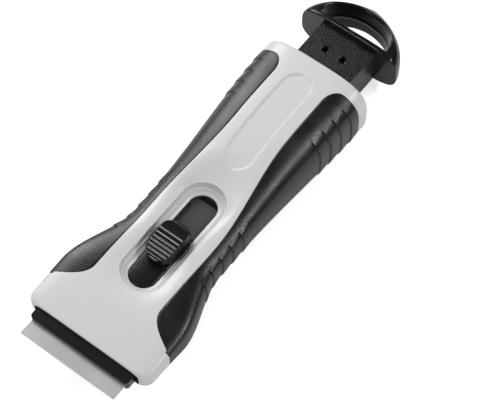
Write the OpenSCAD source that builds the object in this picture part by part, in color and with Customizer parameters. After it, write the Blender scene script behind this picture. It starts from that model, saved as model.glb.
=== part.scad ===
// Ceramic hob scraper with a sliding blade and a blade magazine in its handle.
// Millimetres. The scraper lies on the flat of its handle, +Z up.
// +Y runs from the blade to the ring, +X to the side, and X = 0 is the plane of symmetry.
// Every module is drawn with Y = 0 at the mouth and Z = 0 at the parting plane of the housing.

/* [Blade] */
// Length of the cutting edge
blade_w = 43; // [39:0.5:44]
// Depth of the blade from its cutting edge to its back
blade_d = 20.5; // [19:0.5:21.5]
// Thickness of the blade
blade_t = 0.3; // [0.2:0.05:0.4]
// How far the blade reaches out of its jaws
blade_reach = 6.6; // [4:0.2:8]
// Number of spare blades in the box
spare_count = 5; // [3:1:5]

/* [Jaws and carriage] */
// How far the jaws reach out of the mouth when the blade is out
jaw_reach = 4.4; // [3:0.2:6]
// Height of the closed pair of jaws
jaw_h = 4.4; // [4:0.1:4.8]
// Jaw beside each end of the blade
jaw_side = 0.9; // [0.5:0.1:1.2]
// Length of the jaws from their front edge to their tail
jaw_l = 24.4; // [23:0.2:26]
// Width of the jaws' tapered tail
jaw_tail_w = 30; // [26:0.5:32]
// Thickness of the carriage's tongue between the jaws
tongue_t = 1.2; // [1:0.1:1.6]
// Width of the carriage
carriage_w = 15; // [14:0.5:16]
// Thickness of the carriage
carriage_t = 2.5; // [2.2:0.1:2.8]
// Radius of the shank of each jaw screw
jaw_screw_r = 0.9; // [0.8:0.1:1]
// Travel of the blade from out to safe
slide_travel = 16; // [14:0.5:16]

/* [Housing] */
// Length of the housing
body_l = 139.5; // [138:0.5:150]
// Width across the head
head_w = 56; // [55:0.5:58]
// Width across the waist
waist_w = 40; // [40:0.5:44]
// Width across the tail
tail_w = 47.4; // [46:0.2:50]
// Height of the lip over the parting plane at the mouth
lip_top = 4; // [3.8:0.1:4.6]
// Height of the head over the parting plane
head_top = 6.9; // [6.6:0.1:7.6]
// Height of the handle over the parting plane
tail_top = 14.9; // [14.2:0.1:16]
// Depth of the chin under the parting plane at the mouth
chin_h = 5; // [4.6:0.1:6]
// Depth of the rounded underside under the parting plane
base_h = 14.5; // [14.3:0.1:15.2]
// Depth of the flat that the handle rests on
flat_h = 14; // [13.4:0.1:14.1]
// Radius of the two front corners, seen from above
head_r = 4; // [3:0.5:6]
// Radius of the edge round the tail
tail_r = 1.6; // [1:0.2:2.4]
// Wall of the housing
wall = 1.8; // [1.6:0.1:2]
// Thickness of the ribs inside the housing
rib_t = 1.4; // [1.2:0.1:1.8]

/* [Grips] */
// Thickness of the soft side grips
grip_t = 2.2; // [1.8:0.1:2.4]
// Where each grip begins, behind the mouth
grip_start = 12.7; // [12:0.1:14]
// Hard tail left behind each grip
grip_tail = 6.1; // [5:0.1:8]
// Half the hard strip between the grips at the waist
strip_waist = 15; // [14.4:0.1:15.4]
// Half the hard strip between the grips at the tail
strip_tail = 11.2; // [10.8:0.1:12]
// Depth of the low line in front of each finger rib
groove_h = 0.25; // [0.1:0.05:0.5]
// Height of the crest of each finger rib
rib_swell = 0.3; // [0.1:0.05:0.5]
// Distance from one finger rib to the next
rib_pitch = 6.1; // [5.6:0.1:6.4]
// First groove of the front ribs, behind the mouth
front_rib_y = 42; // [41:0.5:43]
// From the first groove of the rear ribs to the rear end
rear_rib_gap = 29.1; // [28.5:0.1:30.5]

/* [Slot] */
// Width of the slot that the button slides in
slot_w = 11.8; // [11.4:0.1:12.2]
// Front end of the slot, behind the mouth
slot_y = 27.3; // [27:0.1:28]
// Height of the slot's edge over the parting plane
slot_z = 3.7; // [3.6:0.1:3.9]
// Thickness of the plate round the slot
slot_t = 1.3; // [1.2:0.05:1.4]
// Width of the lower ledge beside the slot
ledge_w = 1.3; // [1:0.1:1.6]
// Step from the lower ledge up to the upper ledge
ledge_step = 0.5; // [0.3:0.05:0.6]
// Width of the whole sunk surround beside the slot
surround_w = 2.9; // [2.8:0.1:3.2]
// Housing behind the shallow recess in the handle
recess_tail = 8.7; // [8:0.1:14]
// Width of the shallow recess
recess_w = 12.1; // [10:0.1:14]
// Depth of the shallow recess
recess_h = 0.6; // [0.3:0.1:1]
// Housing between the slot and the recess
recess_gap = 11.1; // [10:0.1:12]

/* [Button] */
// Gap between the button's neck and the slot
neck_gap = 0.4; // [0.3:0.05:0.5]
// Length of the button's neck in the slot
neck_l = 28.8; // [28:0.1:29]
// How far the button can be pressed
press_travel = 1; // [0.8:0.05:1.05]
// Half the width of the button's skirt
skirt_rx = 7.8; // [7:0.1:8]
// Half the length of the button's skirt
skirt_ry = 9.2; // [8.6:0.1:9.6]
// Height of the thumb pad over the parting plane
pad_top = 10.4; // [9.8:0.1:10.8]
// Half the width of the thumb pad
pad_rx = 5.5; // [5:0.1:6]
// Rise of the thumb pad from its nose to its crest
pad_rise = 1.6; // [1:0.1:2]
// Number of ridges across the top of the pad
ridge_count = 7; // [5:1:8]
// Height of the pad's ridges
ridge_h = 0.45; // [0.3:0.05:0.6]
// Radius of the spring under the button
spring_r = 2.2; // [2:0.1:2.4]
// Radius of the spring's wire
wire_r = 0.25; // [0.2:0.05:0.3]
// Number of turns of the spring
spring_turns = 4; // [3:1:5]

/* [Drawer] */
// Width of the drawer
drawer_w = 24.8; // [24.8:0.1:25.4]
// Top of the drawer over the parting plane
drawer_top = 7.3; // [7.2:0.1:7.5]
// Depth of the drawer's case
case_h = 12.2; // [12.2:0.1:12.6]
// Height of the drawer's clip-on floor
floor_h = 4.6; // [4:0.1:4.8]
// Room behind the blade box in the drawer
drawer_room = 2.3; // [2.1:0.1:2.6]
// Wall of the drawer
drawer_wall = 1.2; // [1:0.05:1.25]
// How far the drawer is pulled out of the handle
drawer_out = 19.8; // [10:0.2:24]
// Travel of the drawer from shut to its stop
drawer_travel = 43.5; // [40:0.5:44]
// Side of the two square windows in the drawer's roof
window = 2.4; // [1.6:0.1:2.6]
// Distance between the middles of the two windows
window_gap = 8.2; // [7:0.1:10]
// Distance from the ring's flange to the middle of the windows
window_y = 9.8; // [7:0.1:10.2]

/* [Ring] */
// Width of the ring's flange
ring_w = 44.8; // [43:0.2:46]
// Height of the ring's flange
ring_h = 21.2; // [20:0.2:23]
// Length of the ring behind its front face
ring_l = 17.6; // [16:0.1:20]
// Height of the ring's rim at its far end
ring_tip_h = 10; // [8:0.5:12]
// Bar of the ring between the drawer and the loop
ring_bar = 2.2; // [2:0.1:2.8]
// Rim of the ring round the loop
ring_rim = 3.6; // [3.2:0.1:4.2]

/* [Blade box] */
// Room beside the ends of the spare blades
box_room = 0.8; // [0.6:0.1:1]
// Room in front of the backs of the spare blades
box_slack = 0.3; // [0.2:0.1:0.4]
// Thickness of the blade box
box_h = 9.2; // [8.6:0.1:9.3]
// Wall of the blade box
box_wall = 1.1; // [1:0.05:1.2]

/* [Fits] */
// Clearance beside a piece that slides
run_gap = 0.35; // [0.3:0.01:0.4]
// Clearance between pieces that are seated on each other
seat_gap = 0.05; // [0.03:0.01:0.08]
// Bed of adhesive under each grip
grip_bed = 0.3; // [0.25:0.01:0.35]
// Gap round the edge of each grip
edge_gap = 0.1; // [0.1:0.01:0.15]
// Radius of the shank of each housing screw
screw_r = 1.25; // [1.1:0.05:1.4]

/* [Hidden] */
$fn = 48;

light_grey = [0.80, 0.80, 0.80];
black = [0.07, 0.07, 0.07];
dark_grey = [0.25, 0.26, 0.27];
steel = [0.62, 0.63, 0.64];

// Ends of the neck and the grips along the handle
head_end = 20;
neck_end = 52;
tail_start = 60;
rise_start = 50;
rise_end = body_l - 25.5;
strip_start = tail_start + 2;
strip_end = body_l - 34.5;
lip_slope = 32;
chin_end = 47;
grip_end = body_l - grip_tail;
lobe_l = 11.8;
lobe_w = 13.2;
tail_lobe_l = 7.6;
tail_lobe_w = 5.4;

// Smooth step from 0 at u = 0 to 1 at u = 1
function smooth(u) = let (v = max(0, min(1, u))) v * v * (3 - 2 * v);

// How far an edge of radius r has drawn in at a distance d from the end
function drawn_in(d, r) = d >= r ? 0 : r - sqrt(r * r - (r - d) * (r - d));

// Half the width of the housing, without the rounding of its ends
function plan_w(y) = waist_w / 2
  + (head_w - waist_w) / 2 * (1 - smooth((y - head_end) / (neck_end - head_end)))
  + (tail_w - waist_w) / 2 * smooth((y - tail_start) / (body_l - tail_start));
function half_w(y) = plan_w(y) - drawn_in(y, head_r) - drawn_in(body_l - y, tail_r);

// Height of the top and depth of the underside along the middle
function top_h(y) = head_top + (tail_top - head_top) * smooth((y - rise_start) / (rise_end - rise_start))
  - (head_top - lip_top) * pow(max(0, 1 - y / lip_slope), 2) - drawn_in(body_l - y, tail_r);
function under_h(y) = chin_h + (base_h - chin_h) * smooth((y - 2) / (chin_end - 2))
  - drawn_in(body_l - y, tail_r);

// Exponent of the cross-section: squarer at the head, rounder at the waist
function power(y) = 5 - 2 * smooth((y - 20) / 34) + 0.4 * smooth((y - 80) / 60);

// Half the hard strip between the grips: two lobes flare out to the sides
function strip(y) = min(0.93 * plan_w(y),
  strip_waist + (strip_tail - strip_waist) * smooth((y - strip_start) / (strip_end - strip_start))
  + lobe_w * pow(max(0, 1 - (y - grip_start) / lobe_l), 2.2)
  + tail_lobe_w * (1 - sqrt(1 - pow(max(0, min(1, 1 - (grip_end - y) / tail_lobe_l)), 2))));

// Point of a superellipse of half width a, height h and exponent n at angle phi
function oval(a, h, n, phi) = [a * pow(max(0, cos(phi)), 2 / n), h * pow(max(0, sin(phi)), 2 / n)];
function edge_angle(y, w) = acos(pow(min(1, w / half_w(y)), power(y) / 2));
function crown(y, x, h) = h * pow(max(0, 1 - pow(min(1, abs(x) / half_w(y)), power(y))), 1 / power(y));

// Solid between rings of points that follow each other along +Y
module skin(rings) {
  n = len(rings[0]);
  last = len(rings) - 1;
  points = [for (ring = rings) for (p = ring) p];
  sides = [for (i = [0:last - 1]) for (j = [0:n - 1]) let (k = (j + 1) % n, a = i * n, b = a + n)
    each [[a + j, a + k, b + k], [a + j, b + k, b + j]]];
  caps = [[for (j = [n - 1:-1:0]) j], [for (j = [0:n - 1]) last * n + j]];
  polyhedron(points, concat(caps, sides), convexity = 8);
}

// One side of a shell's section from the parting plane up to the hard strip
side_steps = 6;
function in_grip(y) = y > grip_start && y < grip_end;
function shell_side(y, h) = let (g = in_grip(y) ? grip_t : 0, w = strip(y), edge = edge_angle(y, w),
  full = g > 0 ? 1 : 0.96)
  [for (k = [0:side_steps]) oval(half_w(y) - g, h - g, power(y), edge * full * k / side_steps)];

// Half section of a shell: right side, crown, left side. flat cuts the crown off level
crown_steps = 8;
function shell_ring(y, h, flat, up) = let (side = shell_side(y, h), w = strip(y),
  half = concat(side,
    [for (i = [0:crown_steps]) let (x = w * cos(180 * i / crown_steps)) [x, crown(y, x, h)]],
    [for (k = [side_steps:-1:0]) [-side[k][0], side[k][1]]]))
  [for (p = half) [p[0], y, up * min(p[1], flat)]];

// Stations along the housing: close together where its ends and the grips' ends turn
function stations(first, last, count) = [for (i = [0:count]) first + (last - first) * i / count];
step_gap = 0.02;
front_rib_end = front_rib_y + 4 * rib_pitch;
rear_rib_y = body_l - rear_rib_gap;
rear_rib_end = rear_rib_y + 3 * rib_pitch;
tail_turn = grip_end - rear_rib_end - 1;
tail_stations = [for (t = [0:18:90]) grip_end - step_gap - tail_turn * (1 - sin(t))];
body_stations = concat(
  [for (t = [0:22.5:67.5]) head_r * (1 - cos(t))], stations(head_r, grip_start - step_gap, 2),
  stations(grip_start + step_gap, grip_start + lobe_l, 7),
  stations(grip_start + lobe_l + 4.4, front_rib_y - rib_pitch, 1),
  stations(front_rib_y, front_rib_end, 4),
  stations(front_rib_end + rib_pitch, rear_rib_y - rib_pitch, 5),
  stations(rear_rib_y, rear_rib_end - rib_pitch, 2),
  [for (t = [1.2, 3.6, 4.9, 6.1]) rear_rib_end - rib_pitch + t], tail_stations,
  [grip_end + step_gap, body_l - tail_r],
  [for (t = [30:30:90]) body_l - tail_r + tail_r * sin(t)]);

module upper_half() {
  skin([for (y = body_stations) shell_ring(y, top_h(y), 99, 1)]);
}

module lower_half() {
  mirror([0, 0, 1]) skin([for (y = body_stations) shell_ring(y, under_h(y), flat_h, 1)]);
}

// Stadium along Y from y1 to y2, and the same as a prism
module stadium(w, y1, y2) {
  hull() {
    translate([0, y1 + w / 2]) circle(d = w);
    translate([0, y2 - w / 2]) circle(d = w);
  }
}

module stadium_prism(w, y1, y2, z1, z2) {
  straight = y2 - y1 - w;
  translate([0, 0, z1]) {
    translate([-w / 2, y1 + w / 2, 0]) cube([w, straight, z2 - z1]);
    for (y = [y1 + w / 2, y2 - w / 2]) translate([0, y, 0]) cylinder(d = w, h = z2 - z1);
  }
}

module slab(x, y1, y2, z1, z2) {
  translate([-x, y1, z1]) cube([2 * x, y2 - y1, z2 - z1]);
}

// Places that both shells and the moving pieces share
jaw_x = blade_w / 2 + jaw_side;
jaw_front = -jaw_reach;
jaw_back = jaw_front + jaw_l;
blade_front = jaw_front - blade_reach;
blade_back = blade_front + blade_d;
jaw_wide = blade_back + 0.6;
chamber_x = jaw_x + run_gap;
chamber_z = jaw_h / 2 + 0.25;
slot_len = neck_l + 2 * neck_gap + slide_travel + 0.2;
slot_end = slot_y + slot_len;
carriage_top = 0.9;
carriage_low = carriage_top - carriage_t;
carriage_end = slot_end - 2.1;
carriage_x = carriage_w / 2;
tunnel_end = carriage_end + slide_travel + 0.5;
end_block = 1.4;
box_l = blade_w + 2 * end_block + box_room;
box_d = blade_d + box_wall + box_slack;
box_inset = 0.4;
drawer_l = box_l + drawer_wall + box_inset + drawer_room;
bay_x = drawer_w / 2 + run_gap;
drawer_low = drawer_top - case_h - floor_h;
bay_top = drawer_top + run_gap;
bay_low = drawer_low - run_gap;
ring_front = body_l + drawer_out;
drawer_front = ring_front - drawer_l;
bay_front = body_l - drawer_l - 0.4;
stop_h = 1;
stop_l = 2;
stop_x = 3;
stop_end = drawer_front + stop_l + drawer_travel - drawer_out + run_gap;

// Screws of the housing: two at the waist and two at the tail
screw_head_r = 2.4;
screw_head_h = 2;
boss_r = 2.9;
waist_screw = [(carriage_x + run_gap + strip_waist) / 2 - 0.6, 46, -9.4];
tail_screw_y = body_l - 19.5;
tail_screw = [(bay_x + rib_t + half_w(tail_screw_y) - grip_t - 1.2) / 2, tail_screw_y, -5];
screw_places = [for (s = [-1, 1]) for (p = [waist_screw, tail_screw]) [s * p[0], p[1], p[2]]];
peg_r = 1.1;
peg_h = 2.2;
peg_y = tail_screw_y - 20;
peg_places = [for (s = [-1, 1]) [s * tail_screw[0], peg_y]];

// Space that the jaws sweep in the head and the carriage sweeps behind it
module blade_space() {
  difference() {
    slab(chamber_x, -1, jaw_wide + slide_travel + run_gap, -chamber_z, chamber_z);
    for (s = [-1, 1]) translate([s * (chamber_x + 1), jaw_wide + slide_travel + 3, 0])
      rotate(s * 20) cube([2, 4, 12], center = true);
  }
  slab(jaw_tail_w / 2 + run_gap, jaw_wide, jaw_back + slide_travel + run_gap, -chamber_z, chamber_z);
  slab(carriage_x + run_gap, jaw_wide, tunnel_end, carriage_low - 0.15, carriage_top + 0.15);
}

// Space for the button's hooks under the carriage
hook_drop = 1.5;
module hook_space() {
  slab(carriage_x - 1, slot_y + 4, tunnel_end, carriage_low - hook_drop - press_travel - 0.3, 0);
}

module drawer_bay() {
  slab(bay_x, bay_front, body_l + 1, bay_low, bay_top);
}

// Pocket between two depths that narrows towards its floor at z2
module pocket(x1, x2, y1, y2, z1, z2) {
  draft = 0.2;
  hull() {
    translate([x1, y1, z1]) cube([x2 - x1, y2 - y1, 0.01]);
    translate([x1 + draft, y1 + draft, z2]) cube([x2 - x1 - 2 * draft, y2 - y1 - 2 * draft, 0.01]);
  }
}

// Open cells between ribs, from depth z1 to the shell's wall
module cells(x1, x2, rows, z1, up) {
  pitch = (rows[1] - rows[0] + rib_t) / rows[2];
  for (i = [0:rows[2] - 1]) {
    y1 = rows[0] + i * pitch;
    y2 = y1 + pitch - rib_t;
    deep = (up > 0 ? min(top_h(y1), top_h(y2)) * 0.96 : min(under_h(y1), under_h(y2), flat_h)) - wall;
    if (deep > z1 + 0.4)
      for (s = [-1, 1]) pocket(s > 0 ? x1 : -x2, s > 0 ? x2 : -x1, y1, y2, up * (z1 - 0.5), up * deep);
  }
}

// Sunk surround of the slot: a lower ledge, a step and an upper ledge
module slot_cut() {
  y1 = slot_y - surround_w;
  y2 = slot_end + surround_w - 0.9;
  w = slot_w + 2 * surround_w;
  stadium_prism(slot_w, slot_y, slot_end, 0, slot_z + 1);
  stadium_prism(slot_w + 2 * ledge_w, slot_y - ledge_w, slot_end + ledge_w - 0.5, slot_z, slot_z + 2);
  hull() {
    translate([0, 0, slot_z + ledge_step]) linear_extrude(0.01)
      stadium(w - 0.5, y1 + 0.25, y2 - 0.25, $fn = 32);
    translate([0, 0, tail_top]) linear_extrude(0.01)
      stadium(w + 2.4, y1 - 1.2, y2 + 1.2, $fn = 32);
  }
}

// Shallow recess: a ribbon that follows the crown, cut to a stadium
module recess_cut() {
  y1 = slot_end + recess_gap;
  y2 = body_l - recess_tail;
  intersection() {
    stadium_prism(recess_w, y1, y2, 0, tail_top + 2);
    skin([for (y = stations(y1 - 1, y2 + 1, 9)) let (z = top_h(y) - recess_h, x = recess_w / 2 + 1,
      e = crown(y, x, top_h(y)) - recess_h, m = (e + 2 * z) / 3)
      [[x, y, e], [x, y, z + 3], [-x, y, z + 3], [-x, y, e], [-x / 2, y, m], [x / 2, y, m]]]);
  }
}

module top_shell() {
  color(light_grey) {
    difference() {
      upper_half();
      blade_space();
      drawer_bay();
      slot_cut();
      recess_cut();
      // Room under the slot plate for the button's neck and its lock teeth
      slab(carriage_x + run_gap, slot_y - 2, tunnel_end, 0, slot_z - slot_t);
      for (y = [lock_y, lock_y + slide_travel])
        slab(lock_x + 0.3, y - lock_l / 2 - 0.3, y + lock_l / 2 + 0.3, 0, slot_z - slot_t + lock_h);
      // Groove for the drawer's stop
      slab(stop_x + run_gap, bay_front, stop_end, 0, bay_top + stop_h);
      cells(rib_t / 2, bay_x - 2 * rib_t, [bay_front + rib_t, body_l - 2 * rib_t, 5], bay_top, 1);
      side_pockets(1);
      for (p = screw_places)
        translate([p[0], p[1], -1]) cylinder(r = screw_r + seat_gap, h = screw_bite + 1.5, $fn = 24);
    }
    for (p = peg_places)
      translate([p[0], p[1], -peg_h]) cylinder(r = peg_r, h = peg_h + 0.5, $fn = 24);
  }
}

// Pockets between the drawer bay and the outer wall, clear of the screws and pegs
pocket_top = 5;
module side_pockets(up) {
  x1 = bay_x + rib_t;
  rows = [
    [bay_front + rib_t, peg_y - 3],
    [peg_y + 3, tail_screw_y - 4],
    [tail_screw_y + 4, grip_end - rib_t]];
  for (row = rows) {
    x2 = min(half_w(row[0]), half_w(row[1])) - grip_t - wall;
    for (s = [-1, 1]) pocket(s > 0 ? x1 : -x2, s > 0 ? x2 : -x1, row[0], row[1], -up, up * pocket_top);
  }
}

module bottom_shell() {
  color(light_grey) difference() {
    lower_half();
    blade_space();
    hook_space();
    drawer_bay();
    cells(rib_t / 2, bay_x - 2 * rib_t, [bay_front + rib_t, body_l - 2 * rib_t, 5], -bay_low, -1);
    cells(rib_t / 2, carriage_x - 1, [slot_y + 4, tunnel_end - rib_t, 4], hook_floor, -1);
    side_pockets(-1);
    for (p = screw_places) translate([p[0], p[1], 0]) {
      translate([0, 0, -base_h - 1]) cylinder(r = screw_r + seat_gap, h = base_h + 2, $fn = 24);
      translate([0, 0, -base_h - 1]) cylinder(r = screw_head_r + 0.2, h = base_h + 1 + p[2], $fn = 32);
    }
    for (p = peg_places)
      translate([p[0], p[1], -peg_h - 0.3]) cylinder(r = peg_r + seat_gap, h = peg_h + 1, $fn = 24);
  }
}

hook_floor = -(carriage_low - hook_drop - press_travel - 0.3);
screw_bite = 3.4;

module housing_screws() {
  color(steel) for (p = screw_places) translate([p[0], p[1], 0]) {
    translate([0, 0, p[2] - 0.1]) cylinder(r = screw_r, h = screw_bite - p[2] + 0.1);
    difference() {
      translate([0, 0, p[2] - screw_head_h]) cylinder(r = screw_head_r, h = screw_head_h);
      translate([0, 0, p[2] - screw_head_h - 0.1]) for (t = [0, 90]) rotate(t)
        cube([2.6, 0.6, 2], center = true);
    }
  }
}

// Soft grip: the side of the section between the hard strips, over and under
grip_steps = 8;
// Each rib is a saw tooth: a steep face towards the head, a crest, then a long slope back
rib_ease = [-0.35, 0.15, 1.4];
rib_form = [-groove_h, rib_swell, rib_swell * 0.7];
function rib_at(y, first, last) = let (k = round((y - first) / rib_pitch), d = y - first - k * rib_pitch,
  half = rib_pitch / 2, low = rib_swell * 0.25)
  k < 0 || y > last + 1.5 ? 0 : lookup(d, [
    [-half, low], for (i = [0:2]) [rib_ease[i], rib_form[i]], [half, low]]);
function swell(y, u) = (rib_at(y, front_rib_y, front_rib_end) + rib_at(y, rear_rib_y, rear_rib_end))
  * (1 - smooth((u - 0.7) / 0.2));
function rib_stations(first, last) = [for (y = [first:rib_pitch:last + 0.1]) for (d = rib_ease) y + d];
grip_stations = concat(
  stations(grip_start + step_gap + edge_gap, grip_start + lobe_l, 7),
  stations(grip_start + lobe_l + 4.4, front_rib_y - rib_pitch, 1),
  rib_stations(front_rib_y, front_rib_end),
  stations(front_rib_end + rib_pitch, rear_rib_y - rib_pitch, 5),
  rib_stations(rear_rib_y, rear_rib_end),
  [for (y = tail_stations) if (y > rear_rib_end + 1.5) y - edge_gap]);

function grip_arc(y, h, inset, edge) = [for (k = [0:grip_steps]) let (phi = edge * k / grip_steps,
  out = inset > 0 ? -inset : swell(y, k / grip_steps)) oval(half_w(y) + out, h + out, power(y), phi)];
function grip_ring(y) = let (w = strip(y) + edge_gap, inset = grip_t - grip_bed,
  e = edge_angle(y, w), e_in = edge_angle(y, w + grip_bed),
  up = grip_arc(y, top_h(y), 0, e), down = grip_arc(y, under_h(y), 0, e),
  up_in = grip_arc(y, top_h(y), inset, e_in), down_in = grip_arc(y, under_h(y), inset, e_in))
  concat([for (k = [grip_steps:-1:1]) [down[k][0], y, -min(flat_h - 0.2, down[k][1])]],
    [for (k = [0:grip_steps]) [up[k][0], y, up[k][1]]],
    [for (k = [grip_steps:-2:0]) [up_in[k][0], y, up_in[k][1]]],
    [for (k = [2:2:grip_steps]) [down_in[k][0], y, -min(flat_h - 0.6, down_in[k][1])]]);

module right_grip() {
  color(black) skin([for (y = grip_stations) grip_ring(y)]);
}

module left_grip() {
  mirror([1, 0, 0]) right_grip();
}

// Blade: cut corners at its back and a slot that locates it
blade_cut = 2.2;
locator_w = 6;
locator_h = 1.6;
locator_back = 5.5;
module blade_plate() {
  difference() {
    linear_extrude(blade_t) polygon([
      [-blade_w / 2, 0], [blade_w / 2, 0],
      [blade_w / 2, blade_d - blade_cut], [blade_w / 2 - blade_cut, blade_d],
      [-blade_w / 2 + blade_cut, blade_d], [-blade_w / 2, blade_d - blade_cut]]);
    translate([0, blade_d - locator_back, -1]) rotate(90)
      stadium_prism(locator_h, -locator_w / 2, locator_w / 2, 0, 3);
  }
}

module blade() {
  color(steel) translate([0, blade_front, -blade_t / 2]) difference() {
    blade_plate();
    translate([0, 0, blade_t]) rotate([14, 0, 0]) translate([-blade_w, -1, 0]) cube([2 * blade_w, 1.2, 1]);
  }
}

// Outline of both jaws: full width over the blade, then a tapered tail
module jaw_outline() {
  r = 1.2;
  hull() {
    for (s = [-1, 1]) translate([s * (jaw_x - r), jaw_front + r]) circle(r = r);
    translate([-jaw_x, jaw_wide - 1]) square([2 * jaw_x, 1]);
  }
  translate([-jaw_tail_w / 2, jaw_wide - 0.5]) square([jaw_tail_w, jaw_back - jaw_wide + 0.5]);
}

jaw_screw_places = [for (s = [-1, 1]) [s * blade_w * 0.21, (blade_back + jaw_back) / 2 + 0.6]];
jaw_screw_head_r = 1.9 * jaw_screw_r;
jaw_screw_head_h = 0.7;
tongue_front = blade_back + 0.4;

module lower_jaw() {
  color(black) difference() {
    union() {
      translate([0, 0, -jaw_h / 2]) linear_extrude(jaw_h / 2 - blade_t / 2) jaw_outline();
      translate([0, blade_back - locator_back, -blade_t]) rotate(90)
        stadium_prism(locator_h - 0.2, -locator_w / 2 + 0.1, locator_w / 2 - 0.1, 0, blade_t + 0.35);
    }
    slab(jaw_tail_w, tongue_front, jaw_back + 1, -tongue_t / 2, 1);
    for (p = jaw_screw_places)
      translate([p[0], p[1], -jaw_h]) cylinder(r = jaw_screw_r + seat_gap, h = 2 * jaw_h);
  }
}

module upper_jaw() {
  color(black) difference() {
    translate([0, 0, blade_t / 2]) linear_extrude(jaw_h / 2 - blade_t / 2) jaw_outline();
    slab(jaw_tail_w, tongue_front, jaw_back + 1, -1, tongue_t / 2);
    // Long chamfer along the front edge
    translate([0, jaw_front, jaw_h / 2]) rotate([45, 0, 0]) cube([2 * blade_w, 0.7, 0.7], center = true);
    translate([0, blade_back - locator_back, -1]) rotate(90)
      stadium_prism(locator_h, -locator_w / 2, locator_w / 2, 0, 1 + 0.5);
    for (p = jaw_screw_places) translate([p[0], p[1], -1]) {
      cylinder(r = jaw_screw_r + seat_gap, h = 2 * jaw_h);
      translate([0, 0, 1 + jaw_h / 2 - jaw_screw_head_h - 0.1]) cylinder(r = jaw_screw_head_r + 0.2, h = 2);
    }
  }
}

module jaw_screws() {
  color(steel) for (p = jaw_screw_places) translate([p[0], p[1], 0]) {
    translate([0, 0, -jaw_h / 2 + 0.2]) cylinder(r = jaw_screw_r, h = jaw_h - 1);
    difference() {
      translate([0, 0, jaw_h / 2 - jaw_screw_head_h - 0.1])
        cylinder(r = jaw_screw_head_r, h = jaw_screw_head_h);
      translate([0, 0, jaw_h / 2]) cube([1.4, 0.3, 0.6 * jaw_screw_head_h] * jaw_screw_head_r, center = true);
    }
  }
}

// Carriage: tongue between the jaws, bar under the button, notched tail behind it
spring_y = slot_y + neck_gap + 17.8;
spring_seat = carriage_low + 0.6;
hook_y = [slot_y + neck_gap + 12, slot_y + neck_gap + neck_l - 2.6];
hook_x = 4.4;
hook_w = 1.2;
hook_l = 3.2;
module carriage() {
  color(dark_grey) difference() {
    union() {
      slab(jaw_tail_w / 2 - 1, tongue_front, jaw_back, -tongue_t / 2, tongue_t / 2);
      slab(carriage_x, jaw_back - 1, jaw_back + 1, -tongue_t / 2, tongue_t / 2);
      translate([0, 0, carriage_low]) linear_extrude(carriage_t) polygon([
        [-carriage_x, jaw_back + 0.1], [carriage_x, jaw_back + 0.1], [carriage_x, carriage_end - 3],
        [carriage_x - 3, carriage_end], [-carriage_x + 3, carriage_end], [-carriage_x, carriage_end - 3]]);
    }
    // Sunk runway behind the button
    translate([0, 0, carriage_top - 0.5]) linear_extrude(1) polygon([
      [-carriage_x - 1, slot_y + neck_l + 1], [-carriage_x + 2.4, slot_y + neck_l + 1],
      [-carriage_x + 2.4, carriage_end - 4], [-carriage_x - 1, carriage_end - 4]]);
    for (p = jaw_screw_places) translate([p[0], p[1], -2]) cylinder(r = jaw_screw_r + seat_gap, h = 4);
    slab(carriage_x + 1, lock_y - lock_l / 2 - 0.4, lock_y + lock_l / 2 + 0.4, carriage_top - 0.9, 2);
    translate([0, spring_y, spring_seat]) cylinder(r = spring_r + wire_r + 0.2, h = carriage_t);
    for (y = hook_y) for (s = [-1, 1]) translate([s * hook_x, y, 0])
      cube([hook_w + 0.6, hook_l + 0.5, 8], center = true);
  }
}

// Loft of ovals: each row is [z, half width, half length, middle along Y]
oval_sides = 24;
module oval_loft(rows) {
  points = [for (r = rows) for (i = [0:oval_sides - 1]) let (t = 360 * i / oval_sides)
    [r[1] * cos(t), r[3] + r[2] * sin(t), r[0]]];
  last = len(rows) - 1;
  sides = [for (i = [0:last - 1]) for (j = [0:oval_sides - 1])
    let (k = (j + 1) % oval_sides, a = i * oval_sides, b = a + oval_sides)
    each [[a + j, b + k, a + k], [a + j, b + j, b + k]]];
  caps = [[for (j = [0:oval_sides - 1]) j], [for (j = [oval_sides - 1:-1:0]) last * oval_sides + j]];
  polyhedron(points, concat(caps, sides), convexity = 4);
}

// Thumb button: neck in the slot, skirt over its ledges, ridged pad on top.
// Its lock bar crosses under the slot plate, and its hooks reach under the carriage.
skirt_z = slot_z + ledge_step + press_travel + 0.2;
skirt_t = 0.7;
neck_z = [carriage_top + press_travel + 0.15, slot_z - 0.2];
neck_x = slot_w / 2 - neck_gap;
neck_front = slot_y + neck_gap;
neck_end_y = neck_front + neck_l;
skirt_y = neck_end_y - skirt_ry + 0.2;
lock_l = 2.4;
lock_h = 0.6;
lock_x = slot_w / 2 + 0.7;
lock_y = neck_end_y - 7;

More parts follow.
